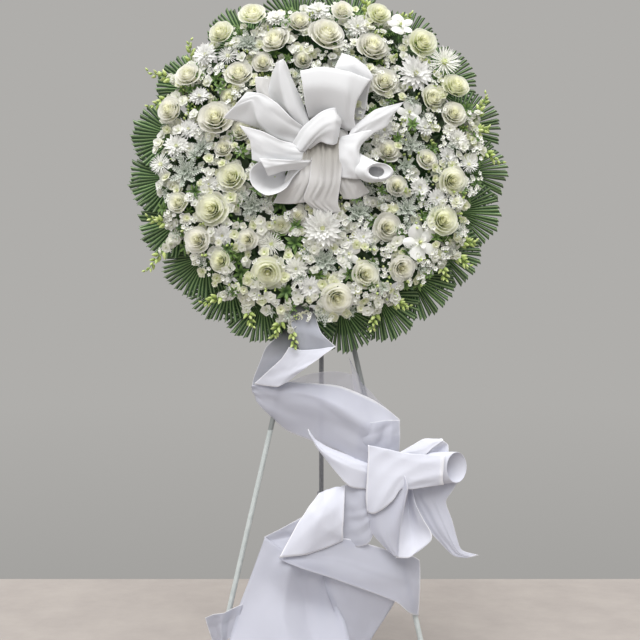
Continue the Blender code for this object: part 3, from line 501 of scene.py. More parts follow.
def spread_blooms():
    """Every bloom's kind, place and radius, pushed apart until they fit beside each other."""
    kinds, rows = [], []
    for kind, table in (("rose", ROSES), ("daisy", DAISIES), ("orchid", ORCHIDS), ("miller", MILLERS)):
        kinds += [kind] * len(table)
        rows += [(across / 1000, up / 1000, radius / 1000) for across, up, radius in table]
    rows = np.array(rows)
    home, place, size = rows[:, :2], rows[:, :2].copy(), rows[:, 2].copy()
    flat = [kind in ("daisy", "miller") for kind in kinds]
    size = size * np.where(flat, FLAT_BLOOM_GROWTH, BLOOM_GROWTH)
    for step in range(SPREAD_STEPS):
        pull = HOME_PULL if step < HOME_STEPS else 0.0
        place += PUSH * crowding(place, size) + pull * (home - place)
        place *= np.minimum(1.0, BED_RADIUS / np.linalg.norm(place, axis=1))[:, None]
    for _ in range(LEAF_COUNT):
        spot, room = widest_gap(place, size)
        kinds.append("leaf")
        place = np.vstack([place, spot])
        size = np.append(size, min(room, LARGEST_LEAF))
    distance = np.linalg.norm(place[:, None] - place[None], axis=2) + 10 * np.eye(len(size))
    share = (distance - BLOOM_GAP) / (size[:, None] + size[None])
    return kinds, place, size * np.minimum(1.0, share.min(axis=1))


def head_pose(place, height, lean_share, turn):
    """A bloom's place over the foam, looking outwards a little more the nearer it is to the rim."""
    far = float(np.linalg.norm(place))
    lean = RIM_LEAN * far / FOAM_RADIUS * lean_share
    out = Vector((place[0], 0, place[1])).normalized()
    look = Vector((0, -1, 0)) * math.cos(lean) + out * math.sin(lean)
    spot = Matrix.Translation((place[0], -height, place[1]))
    return WREATH @ spot @ facing(look) @ Matrix.Rotation(turn, 4, "Z")


def bed_height(place):
    """How far over the foam the large blooms stand, a little more in the middle."""
    return BLOOM_BASE + BLOOM_DOME * (1 - float(np.linalg.norm(place)) / FOAM_RADIUS)


# Materials

def rgb(red, green, blue):
    """A colour as the screen shows it, in linear light."""
    return tuple(((c / 255 + 0.055) / 1.055) ** 2.4 for c in (red, green, blue)) + (1,)


class Graph:
    """The node tree of a material or a world, with short calls to fill it."""

    def __init__(self, owner, shader="Principled BSDF"):
        owner.use_nodes = True
        self.owner = owner
        self.tree = owner.node_tree
        self.shader = self.tree.nodes[shader]

    def node(self, kind, inputs=None, **settings):
        """A new node, with values or links in its inputs."""
        made = self.tree.nodes.new(kind)
        for key, value in settings.items():
            setattr(made, key, value)
        for key, value in (inputs or {}).items():
            self.plug(value, made.inputs[key])
        return made

    def plug(self, value, socket):
        if isinstance(value, bpy.types.NodeSocket):
            self.tree.links.new(value, socket)
        else:
            socket.default_value = value

    def give(self, **values):
        """Set or link inputs of the shader; an input's name is written with _ for each space."""
        for key, value in values.items():
            self.plug(value, self.shader.inputs[key.replace("_", " ")])

    def mix(self, share, one, two, blend="MIX"):
        """Two colours mixed."""
        made = self.node("ShaderNodeMix", data_type="RGBA", blend_type=blend)
        self.plug(share, made.inputs["Factor"])
        self.plug(one, made.inputs["A"])
        self.plug(two, made.inputs["B"])
        return made.outputs["Result"]

    def ramp(self, value, stops):
        """A colour picked from a row of them by a value."""
        made = self.node("ShaderNodeValToRGB", {"Fac": value})
        row = made.color_ramp.elements
        while len(row) < len(stops):
            row.new(0.5)
        for element, (place, colour) in zip(row, stops):
            element.position = place
            element.color = colour
        return made.outputs["Color"]

    def noise(self, scale, detail=3.0, rough=0.6):
        """A cloudy pattern in the piece's own frame."""
        where = self.node("ShaderNodeTexCoord").outputs["Object"]
        return self.node("ShaderNodeTexNoise", {"Vector": where, "Scale": scale, "Detail": detail,
                                                "Roughness": rough}).outputs["Fac"]

    def span(self, value, low, high, source=(0.0, 1.0)):
        """A value moved from its source span to another one."""
        return self.node("ShaderNodeMapRange", {"Value": value, "From Min": source[0],
                                                "From Max": source[1], "To Min": low,
                                                "To Max": high}).outputs["Result"]

    def height(self, source):
        """The height of the shaded point in a coordinate set."""
        place = self.node("ShaderNodeTexCoord").outputs[source]
        return self.node("ShaderNodeSeparateXYZ", {"Vector": place}).outputs["Z"]

    def join(self, one, two, how="ADD"):
        """Two values added or multiplied."""
        return self.node("ShaderNodeMath", {0: one, 1: two}, operation=how).outputs[0]

    def shade(self, colour, level):
        """A colour made darker or brighter."""
        grey = self.node("ShaderNodeCombineColor", {0: level, 1: level, 2: level})
        return self.mix(1.0, colour, grey.outputs[0], "MULTIPLY")

    def tints(self):
        """How far along its petal a point is, its petal's and its bloom's own numbers, and its layer."""
        tint = self.node("ShaderNodeAttribute", attribute_name="tint")
        parts = self.node("ShaderNodeSeparateColor", {"Color": tint.outputs["Color"]})
        return (*parts.outputs[:3], tint.outputs["Alpha"])

    def bump(self, height, strength, distance):
        """Roughen the surface a little."""
        made = self.node("ShaderNodeBump", {"Height": height, "Strength": strength, "Distance": distance})
        self.give(Normal=made.outputs["Normal"])

    def see_through(self, share, colour):
        """Let some of the light through from behind."""
        back = self.node("ShaderNodeBsdfTranslucent", {"Color": colour})
        both = self.node("ShaderNodeMixShader", {0: share})
        self.plug(self.shader.outputs[0], both.inputs[1])
        self.plug(back.outputs[0], both.inputs[2])
        self.plug(both.outputs[0], self.tree.nodes["Material Output"].inputs["Surface"])


def petal_material(name, usual, other, heart=None, other_share=0.6, rough=0.55, through=0.22,
                   mottle=0.10):
    """Petals: a ramp from root to tip, another for some blooms, and petals that differ a little."""
    g = Graph(bpy.data.materials.new(name))
    along, own, bloom, layer = g.tints()
    share = g.span(bloom, 0.0, other_share, (0.35, 1.0))
    colour = g.mix(share, g.ramp(along, usual), g.ramp(along, other))
    if heart:
        colour = g.mix(g.span(layer, 0.7, 0.0, (0.0, 0.7)), colour, heart)
    colour = g.shade(colour, g.span(own, 0.90, 1.06))
    fine = g.noise(260.0)
    colour = g.shade(colour, g.span(fine, 1 - mottle, 1 + mottle * 0.6))
    g.give(Base_Color=colour, Roughness=g.span(fine, rough - 0.08, rough + 0.12), Sheen_Weight=0.15)
    g.bump(g.noise(700.0, 2.0), 0.25, 0.0006)
    g.see_through(through, colour)
    return g.owner


def leaf_material(name, dark, light, rough=0.42):
    """Leaves: darker at the root, streaked along the blade."""
    g = Graph(bpy.data.materials.new(name))
    along, own, _, _ = g.tints()
    veins = g.noise(900.0, 2.0, 0.5)
    share = g.join(g.join(along, g.span(own, -0.25, 0.35)), g.span(veins, -0.25, 0.25))
    colour = g.mix(g.span(share, 0.0, 1.0), dark, light)
    colour = g.shade(colour, g.span(g.noise(35.0), 0.75, 1.2))
    g.give(Base_Color=colour, Roughness=g.span(veins, rough - 0.1, rough + 0.2))
    g.bump(veins, 0.3, 0.0008)
    g.see_through(0.12, colour)
    return g.owner


def fan_material(name, furrow_shade, rib_and_highlight):
    """Palm fans: the layer number runs across each blade, so a paler rib shows along its crest. It is
    partly the blade's own rib and partly a painted highlight, lighter on one side of the crest than the
    other, while the furrows between are painted shade.
    """
    g = Graph(bpy.data.materials.new(name))
    along, own, _, across = g.tints()
    fibres = g.noise(1400.0, 2.0)
    share = g.join(g.span(across, 0.0, 1.0, (0.25, 1.0)), g.span(fibres, -0.3, 0.3))
    # painted shade in the furrows, and a pale rib with a painted highlight along the crest
    colour = g.mix(share, g.ramp(along, furrow_shade), g.ramp(along, rib_and_highlight))
    colour = g.shade(colour, g.span(own, 0.68, 1.22))
    g.give(Base_Color=colour, Roughness=g.span(fibres, 0.34, 0.58))
    g.bump(fibres, 0.3, 0.0008)
    g.see_through(0.10, colour)
    return g.owner


def cloth_material(name, pale, deep, alpha, through, root=None):
    """White non-woven cloth: matted fibres, a soft sheen, a little see-through, paler along its edges,
    partly as a doubled hem and partly as a painted highlight where the edges catch the light.

    Where a root colour is given, the cloth darkens to it at the start of its net: painted shade deep in the
    folds.
    """
    g = Graph(bpy.data.materials.new(name))
    along, _, _, edge = g.tints()
    fibres = g.noise(900.0, 4.0, 0.7)
    colour = g.mix(g.span(fibres, 0.0, 0.5), pale, deep)
    colour = g.mix(g.span(g.noise(9.0, 3.0), 0.0, 0.5, (0.4, 0.9)), colour, deep)
    if root:
        # painted shade: darker towards the start of the net, deep in the folds
        colour = g.mix(g.span(along, 0.9, 0.0, (0.0, 0.45)), colour, root)
    # paler along the edges: partly a doubled hem, partly a painted highlight where the edge catches the
    # light
    colour = g.mix(g.span(edge, 0.0, 0.85), colour, EDGE_HEM_AND_HIGHLIGHT)
    g.give(Base_Color=colour, Roughness=g.span(fibres, 0.72, 0.9), Sheen_Weight=0.2, Sheen_Roughness=0.5,
           Specular_IOR_Level=0.2, Alpha=alpha)
    g.bump(fibres, 0.18, 0.0006)
    g.see_through(through, colour)
    return g.owner


def hard_material(name, base, worn, rough, scale, grain=None, upper=None):
    """Painted metal, rubber, board or foam; upper is a darker colour that the piece takes above a height.
    """
    g = Graph(bpy.data.materials.new(name))
    cloudy = g.noise(scale, 5.0, 0.65)
    colour = g.mix(g.span(cloudy, 0.0, 1.0, (0.35, 0.75)), base, worn)
    if grain:
        colour = g.mix(g.span(g.noise(grain, 2.0), 0.0, 0.35), colour, worn)
    if upper:
        share = g.span(g.height("Object"), 0.0, 1.0, (LEG_DARKER_ABOVE - 0.001, LEG_DARKER_ABOVE + 0.001))
        colour = g.mix(share, colour, upper)
    g.give(Base_Color=colour, Roughness=g.span(cloudy, rough - 0.1, rough + 0.15))
    g.bump(g.noise(scale * 14, 3.0), 0.2, 0.0005)
    return g.owner


# Colours along a petal or blade, from its root to its tip
CREAM = ((0.0, rgb(246, 246, 216)), (0.45, rgb(254, 253, 243)), (1.0, rgb(255, 254, 250)))
GREENISH = ((0.0, rgb(230, 239, 168)), (0.5, rgb(246, 250, 212)), (1.0, rgb(252, 253, 238)))
WHITE = ((0.0, rgb(226, 232, 206)), (0.3, rgb(248, 249, 246)), (1.0, rgb(254, 254, 254)))
BLUSH = ((0.0, rgb(220, 226, 184)), (0.35, rgb(247, 248, 237)), (1.0, rgb(253, 253, 247)))
BUTTER = ((0.0, rgb(200, 216, 120)), (0.4, rgb(242, 245, 208)), (1.0, rgb(252, 252, 234)))
LIME = ((0.0, rgb(128, 154, 66)), (0.5, rgb(172, 194, 104)), (1.0, rgb(210, 224, 150)))
PALE_LIME = ((0.0, rgb(176, 196, 98)), (0.5, rgb(222, 232, 158)), (1.0, rgb(244, 248, 208)))
SILVER = ((0.0, rgb(128, 142, 124)), (0.5, rgb(200, 208, 197)), (1.0, rgb(240, 243, 238)))
SAGE = ((0.0, rgb(112, 128, 108)), (0.5, rgb(176, 188, 172)), (1.0, rgb(224, 230, 220)))
EYE = ((0.0, rgb(206, 214, 130)), (0.5, rgb(228, 232, 170)), (1.0, rgb(240, 242, 200)))
# Palm blades: painted shade in the furrows, and a pale rib with a painted highlight on the crest
FAN_FURROW_SHADE = ((0.0, rgb(54, 86, 42)), (0.4, rgb(46, 78, 42)), (1.0, rgb(54, 84, 54)))
FAN_RIB_AND_HIGHLIGHT = ((0.0, rgb(120, 156, 88)), (0.5, rgb(136, 166, 108)), (1.0, rgb(150, 174, 126)))
# The edges' pale tone: partly a doubled hem, partly a painted highlight
EDGE_HEM_AND_HIGHLIGHT = rgb(250, 250, 254)
# How high over the floor the pale paint turns darker
LEG_DARKER_ABOVE = 0.526

ROSE_LOOK = petal_material("rose_petals", CREAM, GREENISH, rgb(252, 252, 224), 0.75, through=0.44)
DAISY_LOOK = petal_material("daisy_petals", WHITE, BLUSH, through=0.18)
ORCHID_LOOK = petal_material("orchid_petals", WHITE, WHITE, rough=0.4, mottle=0.04)
FLORET_LOOK = petal_material("floret_petals", BLUSH, WHITE, through=0.3)
BUTTER_LOOK = petal_material("cream_florets", BUTTER, CREAM, through=0.3)
BUD_LOOK = petal_material("lime_buds", LIME, PALE_LIME, rough=0.45, through=0.1)
MILLER_LOOK = petal_material("silver_felt", SILVER, SAGE, rough=0.85, through=0.1)
GREEN_LOOK = leaf_material("green_leaves", rgb(52, 84, 40), rgb(120, 152, 78))
DARK_LOOK = leaf_material("dark_leaves", rgb(26, 44, 26), rgb(62, 90, 50))
STEM_LOOK = leaf_material("green_stems", rgb(90, 116, 56), rgb(140, 164, 86), rough=0.5)
EYE_LOOK = petal_material("flower_eyes", EYE, LIME, rough=0.8, through=0.0, mottle=0.3)
FAN_LOOK = fan_material("palm_blades", FAN_FURROW_SHADE, FAN_RIB_AND_HIGHLIGHT)
# Name, pale and deep tone, alpha, light let through, and the painted shade in the folds at the start of a
# net
CLOTH_LOOKS = [cloth_material(*look) for look in (
    ("white_cloth", rgb(218, 220, 231), rgb(206, 208, 220), 0.97, 0.12),
    ("single_cloth", rgb(213, 215, 227), rgb(201, 203, 216), 0.66, 0.18),
    ("sheer_cloth", rgb(226, 226, 236), rgb(214, 214, 226), 0.14, 0.2),
    # knot cloth: its warmer tone is painted light from the cream flowers, and its root colour painted shade
    # in the folds by the knot
    ("knot_cloth_painted_light_and_shade", rgb(229, 228, 228), rgb(217, 216, 215), 0.88, 0.18, rgb(134, 128, 112)),
    # the white cloth again, brighter: painted light on the high bow
    ("bow_cloth_painted_light", rgb(231, 232, 235), rgb(220, 221, 223), 0.97, 0.12),
    # the single cloth again, darker: painted shade on the low train
    ("low_cloth_painted_shade", rgb(202, 204, 216), rgb(189, 191, 204), 0.66, 0.18),
    # the low cloth with a dark root: painted shade on the fall and the fold under the flowers
    ("cloth_painted_shade", rgb(202, 205, 216), rgb(189, 192, 204), 0.66, 0.18, rgb(70, 72, 66)),
)]
LEG_LOOK = hard_material("pale_paint", rgb(174, 181, 181), rgb(197, 202, 202), 0.38, 40.0,
                         upper=rgb(128, 132, 132))
# The back leg and its clamp: the pale paint darkened, painted shade for the shadow they stand in at the
# back
BACK_METAL_PAINTED_SHADE_LOOK = hard_material("back_paint_painted_shade", rgb(118, 121, 126), rgb(150, 152, 156), 0.42, 50.0)
RUBBER_LOOK = hard_material("foot_rubber", rgb(36, 36, 38), rgb(64, 64, 64), 0.75, 90.0)
BOARD_LOOK = hard_material("board", rgb(150, 122, 88), rgb(184, 156, 120), 0.75, 25.0, 300.0)
FOAM_LOOK = hard_material("flower_foam", rgb(34, 64, 34), rgb(58, 92, 52), 0.95, 260.0)

# The flowers on their CAD nodes

VERTICES = {name: np.array([v.co for v in item.data.vertices]) for name, item in NODES.items()}


def node_near(kind, point):
    """The CAD node of a kind that comes nearest to a point."""
    names = [name for name in VERTICES if name.startswith(kind + "_spray")]
    point = np.array(point)
    return min(names, key=lambda name: np.linalg.norm(VERTICES[name] - point, axis=1).min())


SPRAY_LOOKS = {
    "rose": ([ROSE_LOOK, GREEN_LOOK], "rose_petals"),
    "daisy": ([DAISY_LOOK, STEM_LOOK, EYE_LOOK], "daisy_petals"),
    "orchid": ([ORCHID_LOOK, STEM_LOOK, EYE_LOOK], "orchid_petals"),
    "miller": ([MILLER_LOOK, STEM_LOOK], "silver_leaves"),
    "leaf": ([GREEN_LOOK, STEM_LOOK], "green_leaves"),
}
# A rose smaller than this is a young one
SMALLEST_OPEN_ROSE = 0.0235
# How much larger than its place a bloom is drawn, so that neighbours overlap a little
FULL_OVERLAP = 1.10
FLAT_OVERLAP = 1.22
HEAD_TILT = 0.22
# One daisy in about five has a spider's narrow rays
SPIDER_EVERY = 5
FIRST_SPIDER = 3
STEM_DEPTH = 0.004
STEM_NARROWING = 0.985
HEAD_STEM_RADIUS = 0.0016
SMALL_STEM_RADIUS = 0.0008


def stem(surface, place, height, radius):
    """Add a bloom's stem, from its head into the foam."""
    top = WREATH @ Vector((place[0], -height, place[1]))
    low = WREATH @ Vector((place[0] * STEM_NARROWING, STEM_DEPTH, place[1] * STEM_NARROWING))
    surface.stalk((low, (top + low) / 2, top), (radius,) * 3)


def build_sprays(kinds, place, size):
    """The large blooms, each with the spray of its kind that comes nearest to it."""
    heads = {"rose": kinds_of(rose, 7), "bud": kinds_of(rose, 4, YOUNG_ROSE), "daisy": kinds_of(daisy, 5),
             "spider": kinds_of(daisy, 2, SPIDER_RINGS), "orchid": kinds_of(orchid, 2),
             "miller": kinds_of(miller, 4), "leaf": kinds_of(leaf_rosette, 4)}
    sprays = {}
    for number, (kind, spot, radius) in enumerate(zip(kinds, place, size)):
        height = bed_height(spot)
        look = kind
        if kind == "rose" and radius < SMALLEST_OPEN_ROSE:
            look = "bud"
        if kind == "daisy" and number % SPIDER_EVERY == FIRST_SPIDER:
            look = "spider"
        pose = head_pose(spot, height, 1.0, DRAW.uniform(0, TAU))
        tilt = Matrix.Rotation(DRAW.uniform(-HEAD_TILT, HEAD_TILT), 4, "X")
        tilt = tilt @ Matrix.Rotation(DRAW.uniform(-HEAD_TILT, HEAD_TILT), 4, "Y")
        node = node_near(kind, pose.translation)
        surface = sprays.setdefault(node, Surface())
        grown = radius * (FULL_OVERLAP if kind in ("rose", "leaf") else FLAT_OVERLAP)
        surface.place(DRAW.choice(heads[look]), pose @ tilt @ Matrix.Scale(grown, 4), DRAW.random())
        stem(surface, spot, height, HEAD_STEM_RADIUS)
    for node, surface in sorted(sprays.items()):
        looks, slot = SPRAY_LOOKS[node.split("_")[0]]
        surface.build(node.replace("spray", "blooms"), looks, slot, [node])


def scatter(count, reach, seed):
    """Even, slightly uneven places over a round bed."""
    draw = random.Random(seed)
    spots = []
    for i in range(count):
        r = reach * math.sqrt((i + draw.random()) / count)
        a = i * math.pi * GOLDEN + draw.uniform(-0.25, 0.25)
        spots.append((r * math.cos(a), r * math.sin(a)))
    return spots


FILLER_SPOTS = 2200
FILLER_REACH = 0.372
FILLER_HEIGHTS = (0.55, 1.5)
FILLER_LEANS = (0.6, 2.2)
FILLER_TILT = 0.5
# How much of a large bloom's radius keeps the filler out
KEPT_CLEAR = 0.84
BOW_CLEARING = 0.085
# The filler stands a little higher over the foam than beyond its rim
RIM_REACH = 0.34
RISE_INSIDE = 0.004
RISE_OUTSIDE = -0.008
# Right of this line more of the filler is leaves
LEAFY_SIDE = 0.14
LEAFY_POWER = 0.58
PLAIN_POWER = 1.08
# The filler's pieces, and the drawn number up to which each but the last is picked
FILLER = (
    ("small_white_florets", FLORET_LOOK, "daisy_petals"),
    ("small_cream_florets", BUTTER_LOOK, "rose_petals"),
    ("tiny_white_flowers", DAISY_LOOK, "daisy_petals"),
    ("lime_buds", BUD_LOOK, "green_florets"),
    ("small_silver_leaves", MILLER_LOOK, "silver_leaves"),
    ("small_green_leaves", GREEN_LOOK, "green_leaves"),
)
FILLER_SHARES = (0.38, 0.56, 0.72, 0.82, 0.90)
# Clumps: flowers in one, how far apart, how much higher, lean at most, radii, the stem's radius
CLUMPS = {
    "tiny_white_flowers": (5, 0.012, (0.0, 0.012), 2.0, (0.0050, 0.0072), 0.0005),
    "lime_buds": (3, 0.010, (-0.004, 0.008), 2.5, (0.0045, 0.0070), 0.0006),
}
FLORET_RADII = (0.0095, 0.0160)
LEAF_RADII = {"small_silver_leaves": (0.014, 0.021), "small_green_leaves": (0.014, 0.022)}


def put_one(surface, blooms, pose, radii, draw):
    """Add one bloom of a kind, of a drawn size."""
    surface.place(draw.choice(blooms), pose @ Matrix.Scale(draw.uniform(*radii), 4), draw.random())


def put_clump(surface, blooms, spot, height, clump, draw):
    """Add a few small blooms round a place, each on its own stem."""
    count, apart, higher, lean, radii, thin = clump
    for _ in range(count):
        near = spot + np.array([draw.uniform(-apart, apart), draw.uniform(-apart, apart)])
        up = height + draw.uniform(*higher)
        pose = head_pose(near, up, draw.uniform(0.5, lean), draw.uniform(0, TAU))
        put_one(surface, blooms, pose, radii, draw)
        stem(surface, near, up, thin)


def build_filler(place, size):
    """Small flowers, buds and leaves between the large blooms, down to the foam."""
    draw = random.Random(FILLER_SEED)
    florets = kinds_of(floret, 6)
    heads = (florets, florets, kinds_of(star_flower, 4), kinds_of(bud, 3),
             kinds_of(miller, 3, SMALL_MILLER_RINGS, 3), kinds_of(leaf_rosette, 3))
    surfaces = [Surface() for _ in FILLER]
    for spot in scatter(FILLER_SPOTS, FILLER_REACH, FILLER_SPOTS_SEED):
        spot = np.array(spot)
        room = float((np.linalg.norm(place - spot, axis=1) - size * KEPT_CLEAR).min())
        if room < 0.0 or np.linalg.norm(spot - BOW_MIDDLE) < BOW_CLEARING:
            continue
        rise = RISE_INSIDE if np.linalg.norm(spot) < RIM_REACH else RISE_OUTSIDE
        height = bed_height(spot) * draw.uniform(*FILLER_HEIGHTS) + rise
        turn = draw.uniform(0, TAU)
        pose = head_pose(spot, height, draw.uniform(*FILLER_LEANS), turn)
        pose = pose @ Matrix.Rotation(draw.uniform(-FILLER_TILT, FILLER_TILT), 4, "X")
        drawn = draw.random() ** (LEAFY_POWER if spot[0] > LEAFY_SIDE else PLAIN_POWER)
        pick = sum(drawn >= share for share in FILLER_SHARES)
        name, surface, blooms = FILLER[pick][0], surfaces[pick], heads[pick]
        if name in CLUMPS:
            put_clump(surface, blooms, spot, height, CLUMPS[name], draw)
            continue
        if name in LEAF_RADII:
            put_one(surface, blooms, pose, LEAF_RADII[name], draw)
        else:
            scale = Matrix.Scale(draw.uniform(*FLORET_RADII), 4)
            surface.place(draw.choice(blooms), pose @ scale, draw.random())
        stem(surface, spot, height, SMALL_STEM_RADIUS)
    for surface, (name, look, slot) in zip(surfaces, FILLER):
        surface.build(name, [look, STEM_LOOK], slot)


def rim_point(angle, radius, depth):
    """A place at an angle and a radius from the middle of the wreath."""
    return Vector((radius * math.cos(angle), depth, radius * math.sin(angle)))


# Dark leaves over the foam and round its rim: their lengths, widths, lifts and curls
BED_LEAVES = 430
BED_REACH = 0.325
BED_SHAPE = ((0.040, 0.060), (0.015, 0.022), (0.15, 0.5), (-0.4, 0.1))
RIM_LEAVES = 230
RIM_SHAPE = ((0.034, 0.052), (0.012, 0.018), (-0.9, -0.2))
RIM_LIFT = 0.7
RIM_DEPTHS = (-0.002, 0.040)
RIM_INSET = 0.004


def bed_leaf(bed, pose, draw, length, width, lift, curl):
    """Add one dark leaf, turned at random."""
    leaf = Surface()
    shape = blade(length, width, lift, curl, 0.4, (0.3, 0.45, 0.9), 5, 3, 0.0, 0.0, draw.uniform(0, TAU))
    leaf.grid(shape, draw.random())
    bed.place(leaf, pose, draw.random())


def build_under_leaves():
    """Dark leaves that hide the foam from the front and round its rim."""
    draw = random.Random(BED_SEED)
    bed = Surface()
    for spot in scatter(BED_LEAVES, BED_REACH, BED_SPOTS_SEED):
        pose = WREATH @ Matrix.Translation((spot[0], 0.001, spot[1])) @ facing((0, -1, 0))
        bed_leaf(bed, pose, draw, *[draw.uniform(*span) for span in BED_SHAPE])
    for i in range(RIM_LEAVES):
        out = rim_point(TAU * (i + draw.uniform(-0.3, 0.3)) / RIM_LEAVES, 1, 0)
        depth = draw.uniform(*RIM_DEPTHS)
        place = Matrix.Translation(out * (FOAM_RADIUS - RIM_INSET) + Vector((0, depth, 0)))
        look = (out * 0.35 + Vector((0, -1, 0)) * draw.uniform(0.2, 0.9)).normalized()
        length, width, curl = [draw.uniform(*span) for span in RIM_SHAPE]
        bed_leaf(bed, WREATH @ place @ facing(look), draw, length, width, RIM_LIFT, curl)
    bed.build("leaf_bed", [DARK_LOOK], "green_leaves")


# Palm fans

# Where the fans grow, how wide they open, how far they lean, and at which angles they stand, in degrees
FAN_HUB_RADIUS = 0.337
FAN_DEPTH = 0.030
FAN_SPREAD = math.radians(160.0)
FAN_TILT = math.radians(8.0)
FAN_ANGLES = (357, 15, 35, 55, 78, 98, 120, 147, 168, 185, 202, 220, 233, 248, 263, 279, 294, 309,
              324, 341)
BLADES = 25
# Where a blade's points stand along it and across it, and how far each across is on the pale rib: painted
# highlight on the crest, lighter on one side, and painted shade towards the furrows
BLADE_ROWS = np.array((0.06, 0.24, 0.42, 0.56, 0.68, 0.79, 0.90, 1.0))
BLADE_COLS = (-1.0, -0.5, 0.0, 0.5, 1.0)
RIB_AND_HIGHLIGHT = (0.0, 0.30, 1.0, 0.55, 0.1)
PLEAT_DEPTH = 0.050
# A blade's length, its bend to a side, its droop, and how much shorter it is towards the fan's sides
BLADE_LENGTHS = (0.93, 1.0)
BLADE_BEND = 0.035
BLADE_DROOP = (-0.10, 0.03)
SIDE_SHORTER = 0.20
# How far out the blades part, nearer the hub on fans that point right, and how wide their gaps get
PARTING = 0.62
PARTING_SWING = 0.16
GAP_WIDTHS = (0.16, 0.44)
# These fans' blades lie closer together
JOINED_FANS = (147, 168, 185)
JOINED_GAP = 0.4
# The stalk at a fan's hub, a little thicker where the blades start
PETIOLE = np.linspace(-0.030, 0.010, 9)
PETIOLE_RADII = 0.0022 + 0.0002 * (np.arange(len(PETIOLE)) > 6)
LEAF_THICKNESS = 0.0005


def fan_pose(angle):
    """A fan's hub: Y out along the fan, Z towards the front."""
    out = rim_point(angle, 1, 0)
    side = Vector((math.sin(angle), 0, -math.cos(angle)))
    turn = Matrix((side, out, Vector((0, -1, 0)))).transposed().to_4x4()
    hub = Matrix.Translation(rim_point(angle, FAN_HUB_RADIUS, FAN_DEPTH))
    return WREATH @ hub @ turn @ Matrix.Rotation(FAN_TILT, 4, "Y")


def build_fan(number, degrees):
    """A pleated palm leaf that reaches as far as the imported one."""
    draw = random.Random(FAN_SEED + number)
    pose = fan_pose(math.radians(degrees))
    node = f"palm_fan_{number:02d}"
    reach = float(np.linalg.norm(VERTICES[node] - np.array(pose.translation), axis=1).max())
    leaf = Surface()
    step = FAN_SPREAD / BLADES
    parting = PARTING - PARTING_SWING * math.cos(math.radians(degrees)) + draw.uniform(-0.06, 0.06)
    gap = draw.uniform(*GAP_WIDTHS) * (JOINED_GAP if degrees in JOINED_FANS else 1.0)
    for i in range(BLADES):
        middle = -FAN_SPREAD / 2 + step * (i + 0.5)
        tip = reach * (1 - SIDE_SHORTER + SIDE_SHORTER * math.cos(middle)) * draw.uniform(*BLADE_LENGTHS)
        bend = draw.uniform(-BLADE_BEND, BLADE_BEND)
        droop = draw.uniform(*BLADE_DROOP)
        opened = np.clip((BLADE_ROWS - parting - draw.uniform(-0.12, 0.08)) / (1 - parting), 0, 1)
        narrow = (gap + draw.uniform(-0.04, 0.08)) * opened ** 0.6
        points = np.zeros((len(BLADE_ROWS), len(BLADE_COLS), 3))
        for col, across in enumerate(BLADE_COLS):
            ray = middle + across * step / 2 * (1 - narrow) + bend * opened
            slant = 1 + 0.03 * across * (BLADE_ROWS > 0.95)
            radius = tip * BLADE_ROWS * slant
            fold = (0.5 - abs(across)) * PLEAT_DEPTH
            points[:, col, 0] = radius * np.sin(ray)
            points[:, col, 1] = radius * np.cos(ray)
            points[:, col, 2] = radius * fold + droop * reach * opened ** 2
        leaf.grid(points, draw.random(), RIB_AND_HIGHLIGHT)
        leaf.tints[-1][:, 0] = np.repeat(BLADE_ROWS, len(BLADE_COLS))
    leaf.grid(tube([(0, y, 0) for y in PETIOLE], PETIOLE_RADII, 6), 0.5, 0.6, 0, True)
    placed = Surface()
    placed.place(leaf, pose, draw.random())
    placed.build(f"palm_leaf_{number:02d}", [FAN_LOOK], "palm_leaves", [node],
                 thickness=LEAF_THICKNESS, smooth=False)


# Flower spires

# Each spray's fork in degrees, then its tips in degrees and millimetres from the wreath's middle
SPIRE_SPRAYS = (
    (148, ((136, 420), (152, 452), (162, 415))),
    (207, ((199, 415), (214, 470))),
    (240, ((232, 425), (249, 415))),
    (294, ((287, 415), (301, 400))),
    (324, ((316, 405), (324, 425), (332, 410))),
    (10, ((359, 425), (11, 405), (22, 425))),
    (66, ((58, 420), (76, 425))),
    (259, ((256, 426), (263, 440))),
)
SPIRE_ROOT = 0.306
SPIRE_FORK = 0.343
# Radius of the stem below the fork, and of each branch at its start and at its tip
SPIRE_RADII = (0.0019, 0.0016, 0.0007)
SPIRE_POINTS = 12
SPIRE_FLOWERS = 20
# Where the flowers start along a spire, where they give way to buds, and the turn from each to the next
FIRST_FLOWER = 0.16
FIRST_BUD = 0.58
FLOWER_TURN = 2.4
FLOWER_SIZE = 0.0165
BUD_SIZE = 0.0118
SPIRE_DEPTH = 0.007
SPIRE_LEAN = 0.16


def spire_line(angle, radius):
    """A place on the line that a spire follows, which leans forward on its way out."""
    return rim_point(angle, radius, SPIRE_DEPTH - SPIRE_LEAN * (radius - FOAM_RADIUS))


